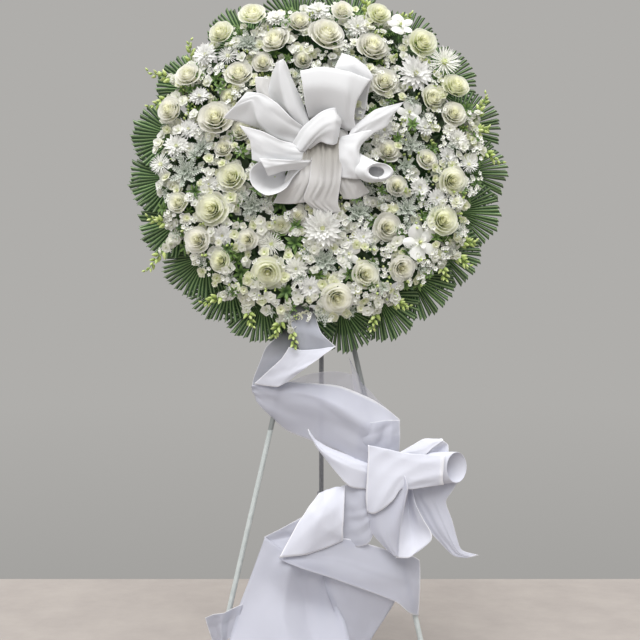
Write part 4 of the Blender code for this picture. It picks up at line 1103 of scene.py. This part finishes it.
def build_spires():
    """Spires with florets below and buds towards their tips."""
    florets, buds = kinds_of(floret, 4, 0.3), kinds_of(bud, 3)
    thick, middling, thin = SPIRE_RADII
    last = SPIRE_POINTS - 1
    for number, (fork, tips) in enumerate(SPIRE_SPRAYS, 1):
        draw = random.Random(SPIRE_SEED + number)
        surface = Surface()
        fork = math.radians(fork)
        root, split = spire_line(fork, SPIRE_ROOT), spire_line(fork, SPIRE_FORK)
        surface.stalk([WREATH @ p for p in (root, (root + split) / 2, split)], (thick,) * 3)
        for degrees, reach in tips:
            tip = spire_line(math.radians(degrees), reach / 1000)
            bow = Vector((draw.uniform(-0.004, 0.004), -0.004, draw.uniform(-0.004, 0.004)))
            line = spline([WREATH @ p for p in (split, (split + tip) / 2 + bow, tip)], SPIRE_POINTS)
            surface.stalk(line, np.linspace(middling, thin, SPIRE_POINTS))
            along = Vector(line[-1] - line[0]).normalized()
            for i in range(SPIRE_FLOWERS):
                share = FIRST_FLOWER + (1 - FIRST_FLOWER) * i / (SPIRE_FLOWERS - 1)
                at = Vector(line[min(int(share * last), last)])
                turn = i * FLOWER_TURN + draw.uniform(-0.3, 0.3)
                side = facing(along) @ Vector((math.cos(turn), math.sin(turn), 0))
                look = (side + along * (0.35 + 0.9 * share)).normalized()
                pose = Matrix.Translation(at + side * 0.003) @ facing(look)
                if share < FIRST_BUD:
                    scale = Matrix.Scale(FLOWER_SIZE * (1.1 - 0.6 * share), 4)
                    surface.place(draw.choice(florets), pose @ scale, draw.random())
                else:
                    scale = Matrix.Scale(BUD_SIZE * (1.45 - share), 4)
                    lime = Surface()
                    lime.place(draw.choice(buds), pose @ scale, draw.random())
                    lime.slots = [np.full(len(lime.slots[0]), 2)]
                    surface.place(lime, Matrix.Identity(4), draw.random())
        surface.build(f"flower_spire_{number:02d}", [FLORET_LOOK, STEM_LOOK, BUD_LOOK], "green_florets",
                      [node for node in NODES if node == f"spire_spray_{number:02d}"])


# Cloth: nets of (picture across, picture down, depth in millimetres), from the knot or the top outwards

CENTRE_BOW = {
    "top_loop": (
        ((309, 120, -60), (322, 118, -64), (341, 128, -62), (358, 134, -54)),
        ((305, 104, -82), (321, 103, -86), (342, 108, -88), (354, 118, -74)),
        ((303, 88, -98), (321, 86, -104), (344, 90, -104), (357, 101, -84)),
        ((300, 71, -96), (320, 67, -100), (346, 71, -98), (370, 80, -80)),
        ((304, 73, -80), (322, 70, -80), (348, 75, -76), (371, 82, -70)),
        ((309, 86, -62), (326, 84, -58), (350, 88, -54), (368, 95, -52)),
        ((314, 104, -48), (330, 102, -46), (350, 106, -42), (366, 110, -42)),
        ((318, 120, -44), (330, 122, -44), (344, 126, -42), (358, 131, -42)),
    ),
    "back_flap": (
        ((328, 108, -40), (340, 108, -42), (352, 112, -40)),
        ((332, 84, -50), (348, 82, -54), (366, 90, -46)),
        ((335, 67, -56), (352, 66, -64), (373, 77, -54)),
        ((342, 53, -46), (354, 57, -54), (366, 66, -50)),
    ),
    "upper_left_spike": (
        ((290, 122, -50), (293, 123, -58), (298, 125, -68), (305, 128, -68), (311, 129, -62)),
        ((270, 104, -54), (278, 106, -66), (287, 110, -86), (297, 110, -82), (307, 114, -64)),
        ((268, 91, -56), (273, 90, -72), (281, 88, -96), (291, 88, -88), (300, 96, -66)),
        ((271, 77, -60), (274, 73, -78), (279, 69, -100), (284, 67, -94), (290, 74, -74)),
        ((275, 66, -70), (276, 63, -84), (279, 61, -96), (283, 59, -94), (286, 62, -84)),
    ),
    "small_fold": (
        ((268, 103, -54), (276, 106, -58), (284, 112, -52)),
        ((257, 93, -60), (263, 92, -64), (270, 92, -56)),
        ((255, 77, -58), (262, 77, -62), (270, 79, -54)),
    ),
    "left_point": (
        ((298, 152, -56), (303, 145, -64), (308, 138, -66), (311, 132, -60)),
        ((275, 139, -56), (272, 136, -70), (284, 124, -82), (293, 119, -86)),
        ((258, 128, -56), (257, 121, -78), (266, 108, -90), (277, 103, -92)),
        ((240, 122, -58), (251, 101, -84), (256, 96, -88), (263, 94, -88)),
        ((222, 118, -60), (232, 108, -72), (240, 100, -78), (247, 92, -78)),
    ),
    "left_flap": (
        ((312, 162, -62), (306, 152, -68), (292, 143, -72)),
        ((286, 164, -74), (284, 152, -84), (280, 140, -88)),
        ((264, 163, -80), (262, 147, -90), (262, 131, -92)),
        ((252, 160, -78), (250, 141, -84), (239, 125, -84)),
    ),
    "lower_left_loop": (
        ((306, 163, -76), (300, 161, -60), (292, 168, -50)),
        ((282, 162, -92), (285, 165, -62), (290, 169, -48)),
        ((261, 161, -102), (272, 167, -62), (288, 170, -46)),
        ((250, 171, -102), (265, 174, -62), (286, 172, -46)),
        ((252, 185, -100), (266, 183, -62), (285, 174, -46)),
        ((265, 195, -96), (273, 187, -60), (286, 176, -46)),
        ((278, 193, -90), (281, 185, -58), (288, 176, -46)),
        ((287, 187, -84), (288, 180, -56), (291, 175, -48)),
        ((294, 176, -78), (295, 172, -58), (294, 172, -50)),
        ((308, 163, -70), (304, 163, -60), (298, 166, -52)),
    ),
    "loop_front": (
        ((312, 160, -74), (309, 164, -74), (304, 171, -66)),
        ((292, 160, -96), (291, 164, -94), (293, 170, -80)),
        ((271, 159, -104), (276, 166, -102), (281, 172, -88)),
        ((259, 158, -104), (264, 167, -104), (268, 176, -92)),
    ),
    "bottom_tail": (
        ((297, 152, -58), (306, 146, -68), (316, 141, -70)),
        ((289, 168, -58), (303, 168, -72), (317, 165, -72)),
        ((283, 184, -58), (301, 184, -70), (318, 181, -68)),
        ((273, 203, -48), (290, 204, -52), (307, 202, -50)),
    ),
    "lower_tail": (
        ((311, 141, -60), (326, 134, -68), (343, 138, -58)),
        ((311, 160, -73), (327, 160, -84), (343, 158, -71)),
        ((309, 181, -74), (326, 184, -78), (341, 180, -70)),
        ((304, 200, -58), (318, 201, -62), (338, 202, -60)),
        ((320, 213, -48), (330, 213, -52), (341, 212, -50)),
    ),
    "lower_right_tail": (
        ((336, 168, -62), (345, 172, -66), (352, 168, -60)),
        ((337, 184, -58), (350, 186, -60), (362, 182, -56)),
        ((343, 199, -44), (356, 199, -48), (370, 192, -44)),
    ),
    "upper_right_tail": (
        ((342, 150, -54), (347, 138, -66), (353, 127, -56)),
        ((364, 138, -70), (367, 124, -78), (374, 110, -72)),
        ((386, 127, -70), (386, 115, -76), (388, 106, -72)),
        ((392, 117, -66), (398, 109, -70), (404, 102, -66)),
    ),
    "right_panel": (
        ((333, 176, -58), (334, 160, -66), (336, 146, -66), (341, 136, -60)),
        ((343, 178, -66), (345, 162, -76), (348, 148, -77), (352, 134, -70)),
        ((354, 179, -70), (354, 163, -81), (356, 147, -82), (364, 131, -76)),
        ((363, 179, -66), (360, 164, -74), (361, 146, -74), (378, 129, -70)),
    ),
    "knot_fold": (
        ((291, 146, -64), (300, 152, -74), (309, 150, -66)),
        ((303, 127, -78), (312, 136, -92), (320, 142, -82)),
        ((321, 112, -88), (325, 124, -100), (327, 144, -86)),
        ((334, 108, -86), (336, 121, -98), (333, 145, -84)),
        ((339, 113, -70), (341, 124, -76), (337, 143, -68)),
    ),
    "gathered_middle": (
        ((301, 169, -48), (321, 174, -58), (343, 171, -48)),
        ((299, 151, -52), (322, 153, -68), (347, 150, -58)),
        ((304, 134, -54), (326, 128, -66), (348, 130, -50)),
    ),
}
UPPER_TRAIN = {
    "fall": (
        ((285, 329, 22), (293, 328, 18), (302, 328, 12)),
        ((266, 347, 20), (284, 347, 16), (302, 350, 12)),
        ((260, 361, 34), (276, 361, 32), (296, 361, 26)),
        ((253, 379, 58), (269, 379, 56), (289, 376, 50)),
        ((251.5, 389, 68), (268, 390, 66), (287, 389, 60)),
    ),
    "fold_inner": (
        ((290, 306, -14), (301, 305, -12), (313, 308, 0)),
        ((292, 330, -12), (306, 331, -16), (321, 332, -26)),
        ((300, 351, -2), (317, 350, -14), (336, 347, -38)),
    ),
    "fold_outer": (
        ((289, 347, 2), (301, 350, -8), (318, 349, -24), (336, 346, -40)),
        ((281, 359, 12), (294, 361, -2), (308, 360, -20), (321, 357, -34)),
        ((268, 371, 30), (281, 373, 14), (294, 372, -6), (306, 368, -22)),
        ((254, 384, 56), (266, 386, 38), (278, 387, 20), (290, 380, 6)),
    ),
    "band": (
        ((252, 385, 60), (251.5, 388, 66), (252, 391, LEG_FRONT), (254, 395, 70), (258, 401, 74)),
        ((271, 383, 44), (268, 389, 44), (266, 396, 52), (264, 404, 64), (265, 411, 74)),
        ((290, 382, 34), (288, 392, 24), (287, 402, 32), (284, 416, 50), (286, 430, 70)),
        ((315, 384, 34), (316, 396, 8), (316, 408, 16), (316, 426, 34), (310, 440, 54)),
        ((340, 386, 36), (343, 408, 0), (342, 420, 8), (340, 436, 22), (338, 452, 40)),
        ((370, 398, 44), (368, 423, 14), (368, 434, 16), (367, 448, 22), (366, 464, 32)),
        ((387, 409, 60), (389, 421, 34), (389, 432, 32), (389, 444, 34), (388, 458, 38)),
        ((400, 420, LEG_FRONT), (400, 427, 56), (400, 434, 50), (399, 443, 48), (398, 455, 50)),
    ),
    "band_end": (
        ((360, 424, 20), (358, 437, 18), (356, 452, 34)),
        ((374, 422, 14), (374, 437, 14), (374, 452, 20)),
        ((386, 420, 24), (382, 436, 26), (383, 452, 28)),
        ((393, 420, 34), (391, 436, 24), (391, 452, 28)),
        ((400, 420, 56), (400, 436, 44), (399, 453, 44)),
    ),
}
VEIL = {
    "veil": (
        ((349, 357, 72), (351, 362, 72)),
        ((352, 376, 64), (364, 384, 72)),
        ((355, 394, 56), (380, 402, 72)),
        ((376, 408, 60), (400, 421, 73)),
    ),
    "back_veil": (
        ((290, 381, 84), (300, 400, 84)),
        ((312, 373, 90), (322, 404, 90)),
        ((335, 371, 90), (345, 410, 90)),
        ((353, 374, 84), (372, 414, 84)),
    ),
}
LOWER_TRAIN = {
    "cone_fold": (
        ((319, 493, 42), (331, 488, 32), (345, 486, 32)),
        ((307, 510, 24), (325, 506, 2), (344, 512, 12)),
        ((297, 525, 18), (316, 527, -2), (343, 530, 12)),
        ((279, 558, 16), (309, 554, 14), (343, 541, 22)),
    ),
    "side_pleats": (
        ((376, 476, 34), (376, 500, 30), (376, 526, 30)),
        ((360, 480, 26), (362, 512, 20), (368, 544, 24)),
        ((341, 486, 36), (341, 516, 32), (343, 549, 32)),
    ),
    "lower_panel": (
        ((279, 557, 26), (279, 558, 24), (280, 560, 22)),
        ((309, 548, 22), (306, 558, 16), (303, 569, 14)),
        ((342, 538, 28), (338, 560, 20), (331, 578, 18)),
        ((372, 545, 34), (370, 570, 24), (365, 590, 24)),
        ((398, 553, 46), (398, 578, 36), (396, 602, 38)),
        ((413, 556, 58), (412, 582, 48), (409, 613, 56)),
        ((420, 560, 66), (420, 584, 60), (419, 616, 68)),
    ),
    "shoulder": (
        ((302, 517, 50), (304, 530, 50), (300, 545, 48)),
        ((284, 527, 50), (290, 537, 60), (286, 550, 50)),
        ((264, 537, 52), (268, 541, 56), (280, 550, 50)),
    ),
    "skirt": (
        ((265, 537, 52), (281, 548, 46), (300, 556, 36), (318, 564, 32), (330, 570, 34)),
        ((259, 553, 50), (272, 564, 40), (289, 570, 24), (305, 580, 42), (330, 584, 34)),
        ((251, 576, 44), (268, 586, 34), (286, 598, 22), (306, 602, 62), (337, 606, 40)),
        ((238, 609, 24), (262, 614, 12), (284, 620, -2), (308, 622, 38), (345, 622, 34)),
        ((229, 640, -10), (256, 646, -18), (290, 650, -30), (318, 650, 4), (350, 644, 8)),
        ((222, 666, -58), (250, 671, -60), (292, 672, -76), (322, 674, -48), (350, 670, -50)),
        ((216, 680, -118), (246, 682, -118), (292, 683, -134), (328, 683, -108), (354, 682, -120)),
    ),
    "skirt_flap": (
        ((322, 572, 34), (345, 578, 26), (370, 588, 32), (396, 600, 42)),
        ((326, 590, 36), (348, 595, 34), (370, 602, 40), (390, 610, 50)),
        ((332, 606, 42), (352, 611, 44), (368, 616, 50), (383, 621, 56)),
        ((338, 624, 42), (353, 629, 50), (365, 631, 56), (376, 631, 60)),
        ((344, 644, 28), (354, 646, 52), (362, 645, 58), (370, 641, 62)),
    ),
    "floor_flap": (
        ((243, 604, 22), (240, 615, 20), (236, 634, 18)),
        ((231, 609, 8), (228, 622, 18), (227, 640, 16)),
        ((224, 613, -2), (221, 624, 2), (222, 642, 6)),
        ((214, 614, -10), (216, 626, 6), (218, 642, 16)),
        ((205, 618, -4), (208, 628, 6), (212, 640, 14)),
    ),
}
LOWER_BOW = {
    "left_tail": (
        ((376, 464, 40), (374, 468, 22), (374, 474, 18), (374, 490, 26)),
        ((350, 456, 36), (350, 461, 16), (352, 468, 12), (350, 487, 18)),
        ((328, 447, 34), (328, 452, 18), (331, 458, 14), (335, 471, 20)),
        ((316, 440, 32), (315, 443, 24), (318, 447, 20), (320, 452, 22)),
        ((308, 429, 30), (308, 430, 28), (309, 433, 26), (310, 436, 26)),
    ),
    "front_layer": (
        ((368, 445, 6), (376, 446.5, 4), (385, 448.5, 2), (394, 450.5, 0),
         (403, 452.5, -2), (412, 453.5, -3), (425, 454.5, -5), (445, 455.5, -9)),
        ((368, 458, 6), (376, 459, 3), (385, 460, 1), (394, 461, -2),
         (403, 462, -4), (412, 463, -6), (425, 463, -9), (444, 464, -14)),
        ((367, 476, 8), (376, 476, 2), (385, 475, -1), (394, 474, -4),
         (403, 473, -6), (412, 474, -8), (425, 474, -11), (443, 475, -16)),
        ((366, 498, 12), (375, 498, 2), (384, 493, -4), (393, 487, -6),
         (401, 481, -7), (411, 482.5, -7), (424, 481.5, -9), (443, 481, -13)),
        ((367, 512, 18), (374, 514, 8), (384, 508.5, 0), (393, 500.5, -3),
         (401, 489, -4), (411, 489.5, -3), (424, 487.5, -5), (444, 485, -9)),
    ),
    "upper_loop": (
        ((398, 456, 8), (399, 454, 10), (400, 452, 12)),
        ((412, 457, 4), (411, 451, 6), (411, 446, 12)),
        ((425, 455, 0), (424, 447, 4), (423, 439, 14)),
        ((433, 447.5, 2), (433, 442, 6), (433, 438.6, 16)),
        ((443, 440.5, 8), (443, 439.5, 11), (442, 438.8, 16)),
    ),
    "loop_inside": (
        ((424, 456, 2), (433, 448, 4), (443, 440.5, 9)),
        ((432, 457, 16), (440, 450, 20), (448, 444.5, 14)),
        ((440, 458, 12), (445, 456, 14), (448.5, 453, 8)),
    ),
    "right_tail": (
        ((404, 488, 40), (430, 482, 36), (459, 481, 30)),
        ((412, 502, 34), (430, 496, 26), (452, 492, 28)),
        ((420, 516, 34), (436, 508, 24), (446, 502, 28)),
        ((430, 532, 32), (443, 524, 22), (452, 520, 28)),
        ((443, 546, 32), (451, 541, 24), (457, 538, 28)),
        ((454, 556, 30), (459, 553, 26), (462, 550, 28)),
        ((468, 558, 28), (473, 556.5, 26), (479, 555, 28)),
    ),
    "left_petal": (
        ((372, 482, 30), (384, 480, 22), (394, 479, 14), (401, 477, 4), (405, 476, -9)),
        ((368, 500, 24), (380, 500, 14), (391, 497, 8), (401, 492, 0), (408, 488, -12)),
        ((368, 516, 24), (380, 516, 10), (391, 513, 4), (399, 508, -2), (405, 504, -4)),
        ((371, 532, 24), (381, 532, 12), (389, 530, 6), (395, 528, 2), (401, 524, 6)),
        ((381, 544, 22), (387, 545, 14), (391, 545, 10), (395, 544, 10), (399, 541, 14)),
        ((392, 554, 20), (395, 556, 16), (397, 557, 15), (399, 558, 16), (400, 558, 18)),
    ),
    "right_petal": (
        ((406, 486, 30), (409, 488, 34), (412, 489, 22)),
        ((402, 504, 20), (408, 504, 38), (416, 505, 10)),
        ((400, 518, 16), (410, 520, 38), (423, 519, 6)),
        ((398, 532, 12), (412, 534, 32), (431, 532, 6)),
        ((396, 546, 12), (411, 548, 20), (431, 541, 8)),
        ((396, 558, 16), (408, 558, 14), (417, 553, 14)),
    ),
}
# Each sheet's pleats and their depth in millimetres, how crisply it is folded along and across, from 0,
# round, to 1, flat between creases, and its number in CLOTH_LOOKS
STYLE = {
    "top_loop": (3, 1.0, 0.5, 0.3, 4),
    "back_flap": (0, 0, 0.3, 0.5, 4),
    "upper_left_spike": (0, 0, 0.5, 0.9, 4),
    "small_fold": (0, 0, 0.3, 0.3, 3),
    "left_point": (3, 0.6, 0.6, 0.9, 4),
    "left_flap": (2, 0.7, 0.5, 0.6, 4),
    "lower_left_loop": (0, 0, 0.1, 0.3, 4),
    "loop_front": (0, 0, 0.3, 0.5, 4),
    "bottom_tail": (4, 3.2, 0.2, 0.3, 3),
    "lower_tail": (4, 4.2, 0.2, 0.3, 3),
    "lower_right_tail": (3, 2.0, 0.2, 0.3, 3),
    "upper_right_tail": (2, 0.8, 0.4, 0.7, 4),
    "right_panel": (3, 0.9, 0.3, 0.2, 4),
    "knot_fold": (3, 1.4, 0.3, 0.3, 4),
    "gathered_middle": (6, 3.4, 0.2, 0.3, 3),
    "fall": (2, 0.8, 0.6, 0.7, 6),
    "fold_inner": (0, 0, 0.3, 0.4, 6),
    "fold_outer": (2, 0.4, 0.4, 0.5, 0),
    "band": (0, 0, 0.25, 0.7, 1),
    "band_end": (0, 0, 0.6, 0.5, 1),
    "veil": (0, 0, 0.4, 0.3, 2),
    "back_veil": (0, 0, 0.4, 0.3, 2),
    "cone_fold": (0, 0, 0.1, 0.4, 0),
    "side_pleats": (5, 2.2, 0.2, 0.3, 5),
    "lower_panel": (0, 0, 0.4, 0.6, 5),
    "shoulder": (0, 0, 0.8, 0.8, 1),
    "skirt": (0, 0, 0.35, 0.75, 5),
    "skirt_flap": (0, 0, 0.5, 0.5, 5),
    "floor_flap": (0, 0, 0.85, 0.85, 5),
    "left_tail": (0, 0, 0.4, 0.85, 0),
    "front_layer": (0, 0, 0.3, 0.3, 0),
    "upper_loop": (2, 0.3, 0.5, 0.2, 0),
    "loop_inside": (0, 0, 0.2, 0.3, 0),
    "right_tail": (4, 1.8, 0.2, 0.4, 1),
    "left_petal": (2, 1.0, 0.2, 0.3, 1),
    "right_petal": (2, 0.8, 0.2, 0.3, 0),
    "ring": (0, 0, 0.1, 0.0, 0),
    "small_ring": (0, 0, 0.1, 0.0, 4),
}
# Rings get no pale edge, hem and painted highlight, at their sides, and the skirt's two sheets get none at
# all
RINGS = ("ring", "small_ring")
UNCUT = ("skirt", "skirt_flap")
SHEET_ROWS = 32
CLOTH_THICKNESS = 0.0006
RUMPLES = 7
RUMPLE_HEIGHT = 0.0042
RING_POINTS = 14
# Rings' rows: middle across and down, half width, half height, tilt, depth, slant
BOW_RING = (
    (375, 172, 9, 5.5, 0.0, -87, 2),
    (379, 171, 10.5, 6.5, 0.0, -90, 3),
    (379, 171, 12.5, 8, 0.0, -93, 4),
    (378, 172, 15, 9, 0.0, -88, 6),
    (369, 171, 13, 11, 0.1, -74, 4),
    (350, 158, 8, 9, 0.3, -58, 2),
)
LOWER_RING = (
    (398, 470, 3, 14, 0.0, 38, 4),
    (406, 470, 5, 16.5, 0.0, 20, 14),
    (424, 469, 8, 16.5, 0.0, 14, 20),
    (442, 468, 9, 16, 0.0, 12, 24),
    (455, 467.5, 10, 15.5, 0.05, 16, 24),
    (456, 467.5, 9.7, 15, 0.05, 18, 23),
    (449, 467, 9.5, 14.6, 0.05, 30, 20),
    (439, 467, 9, 14, 0.05, 40, 14),
)


def ring_net(rows):
    """A closed tube's net."""
    net = []
    for x, y, wide, high, tilt, depth, slant in rows:
        cos, sin = math.cos(tilt), math.sin(tilt)
        turned = []
        for i in range(RING_POINTS):
            a = TAU * i / RING_POINTS + math.pi / 2
            across, down = wide * math.cos(a), high * math.sin(a)
            turned.append((x + across * cos - down * sin, y + across * sin + down * cos,
                           depth + slant * math.cos(a)))
        net.append(turned + turned[:1])
    return net


def add_sheet(surface, label, net, seed):
    """A sheet through its net, pleated towards the knot and a little rumpled all over."""
    pleats, deep, along, across, look = STYLE[label]
    cols = 10 + 5 * max(pleats, 4)
    points = spread([[tuple(seen(*p)) for p in row] for row in net], SHEET_ROWS, cols, (along, across))
    normal = np.cross(np.gradient(points, axis=0), np.gradient(points, axis=1))
    normal /= np.linalg.norm(normal, axis=2)[..., None] + 1e-12
    u = np.linspace(0, 1, cols)[None]
    v = np.linspace(0, 1, SHEET_ROWS)[:, None]
    # Uneven pleats that fade away from the start of the net
    bend = u * pleats + 0.22 * np.sin(5 * u + seed) + 0.16 * np.sin(13 * u + 3 * v + 2 * seed)
    rise = (1 - 4 * np.abs(bend % 1.0 - 0.5)) * deep * (1 - 0.75 * v) * (0.75 + 0.35 * np.sin(9 * u + seed))
    # Rumples, higher on a larger sheet
    end, side = points[-1, 0] - points[-1, -1], points[0, 0] - points[-1, 0]
    wide = 1000 * float(np.linalg.norm(end) + np.linalg.norm(side))
    draw = random.Random(seed)
    for _ in range(RUMPLES):
        wave = draw.uniform(-9, 9) * u + draw.uniform(-9, 9) * v + draw.uniform(0, TAU)
        rumple = (1 - 1.8 * np.abs(np.sin(wave)) ** 1.3) / 2
        rise = rise + RUMPLE_HEIGHT * wide * draw.uniform(0.4, 1.0) * rumple
    if label in RINGS:
        rise = rise * np.sin(math.pi * u)
    edge = np.zeros((SHEET_ROWS, cols))
    edge[:, (0, -1)] = label not in RINGS + UNCUT
    edge[-1] = label not in UNCUT
    surface.grid(points + normal * (rise / 1000)[..., None], layer=edge, slot=look)


def build_cloth(name, sheets, node):
    """One length of cloth, folded into all its sheets."""
    surface = Surface()
    for number, (label, net) in enumerate(sheets.items(), 1):
        add_sheet(surface, label, net, number)
    item = surface.build(name, CLOTH_LOOKS, "cloth", [node] if node else (), thickness=CLOTH_THICKNESS)


def build_all_cloth():
    """The two bows, the train's two falls and the sheer cloth between them."""
    centre = {**CENTRE_BOW, "small_ring": ring_net(BOW_RING)}
    lower = {**LOWER_BOW, "ring": ring_net(LOWER_RING)}
    build_cloth("bow_cloth", centre, "centre_bow")
    build_cloth("train_cloth_upper", UPPER_TRAIN, "upper_train")
    build_cloth("train_veil", VEIL, None)
    build_cloth("train_cloth_lower", LOWER_TRAIN, "lower_train")
    build_cloth("bow_cloth_lower", lower, "lower_bow")


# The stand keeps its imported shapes

STAND_LOOKS = {
    "leg_front_left": LEG_LOOK,
    "leg_front_right": LEG_LOOK,
    "leg_head": LEG_LOOK,
    "mast": LEG_LOOK,
    "hanger_bracket": LEG_LOOK,
    "leg_back": BACK_METAL_PAINTED_SHADE_LOOK,
    "back_leg_clamp": BACK_METAL_PAINTED_SHADE_LOOK,
    "backing_board": BOARD_LOOK,
    "foam_disc": FOAM_LOOK,
    "foot_cap_front_left": RUBBER_LOOK,
    "foot_cap_front_right": RUBBER_LOOK,
    "foot_cap_back": RUBBER_LOOK,
}


def dress_stand():
    """Give the kept solids their looks."""
    for name, look in STAND_LOOKS.items():
        NODES[name].data.materials.clear()
        NODES[name].data.materials.append(look)


# Studio

FLOOR_SIDE = 3.0
FLOOR_BACK = 0.7
FLOOR_TONES = (rgb(138, 132, 129), rgb(150, 144, 140))
SKY_COLOUR = rgb(255, 253, 249)
# Two spans of height in the sky, from -1 to 1, each with the brightness at its ends
SKY_SPANS = (((0.36, 1.0), (0.43, 2.2)), ((-0.26, -0.08), (0.84, 1.0)))
# The lights: name, where they shine, strength, and how wide they are in degrees
LIGHTS = (
    ("key", (0.10, 0.46, -0.88), 2.3, 50),
    ("fill", (0.30, 0.93, 0.15), 0.5, 90),
)
# Width of the camera's sensor in millimetres
SENSOR = 36


def build_sky():
    """Soft light from all round: a pale grey wall colour level with the stand, brighter overhead."""
    g = Graph(bpy.data.worlds.new("studio"), "Background")
    height = g.height("Generated")
    upper, lower = (g.span(height, *levels, source) for source, levels in SKY_SPANS)
    g.give(Color=SKY_COLOUR, Strength=g.join(upper, lower, "MULTIPLY"))
    bpy.context.scene.world = g.owner


def build_floor():
    """The floor, which ends soon behind the stand."""
    mesh = bpy.data.meshes.new("floor")
    near = [(x, -FLOOR_SIDE, 0) for x in (-FLOOR_SIDE, FLOOR_SIDE)]
    far = [(x, FLOOR_BACK, 0) for x in (FLOOR_SIDE, -FLOOR_SIDE)]
    mesh.from_pydata(near + far, [], [(0, 1, 2, 3)])
    g = Graph(bpy.data.materials.new("studio_floor"))
    share = g.span(g.noise(6.0, 6.0, 0.7), 0.0, 1.0, (0.3, 0.7))
    g.give(Base_Color=g.mix(share, *FLOOR_TONES), Roughness=0.9)
    mesh.materials.append(g.owner)
    put("floor", mesh)


def build_studio():
    """The floor, the sky, the lights and the camera."""
    build_floor()
    build_sky()
    for name, toward, power, wide in LIGHTS:
        light = bpy.data.lights.new(name, "SUN")
        light.energy = power
        light.angle = math.radians(wide)
        put(name, light).rotation_euler = Vector(toward).to_track_quat("-Z", "Y").to_euler()
    lens = bpy.data.cameras.new("camera")
    lens.sensor_width = SENSOR
    lens.lens = SENSOR * FOCAL / (2 * HALF_PICTURE)
    camera = put("camera", lens)
    camera.location = CAMERA
    camera.rotation_euler = (math.pi / 2, 0, 0)
    bpy.context.scene.camera = camera
    bpy.context.scene.view_settings.view_transform = "Standard"


build_studio()
dress_stand()
BLOOMS = spread_blooms()
build_sprays(*BLOOMS)
build_filler(BLOOMS[1], BLOOMS[2])
build_under_leaves()
for fan_number, fan_degrees in enumerate(FAN_ANGLES, 1):
    build_fan(fan_number, fan_degrees)
build_spires()
build_all_cloth()
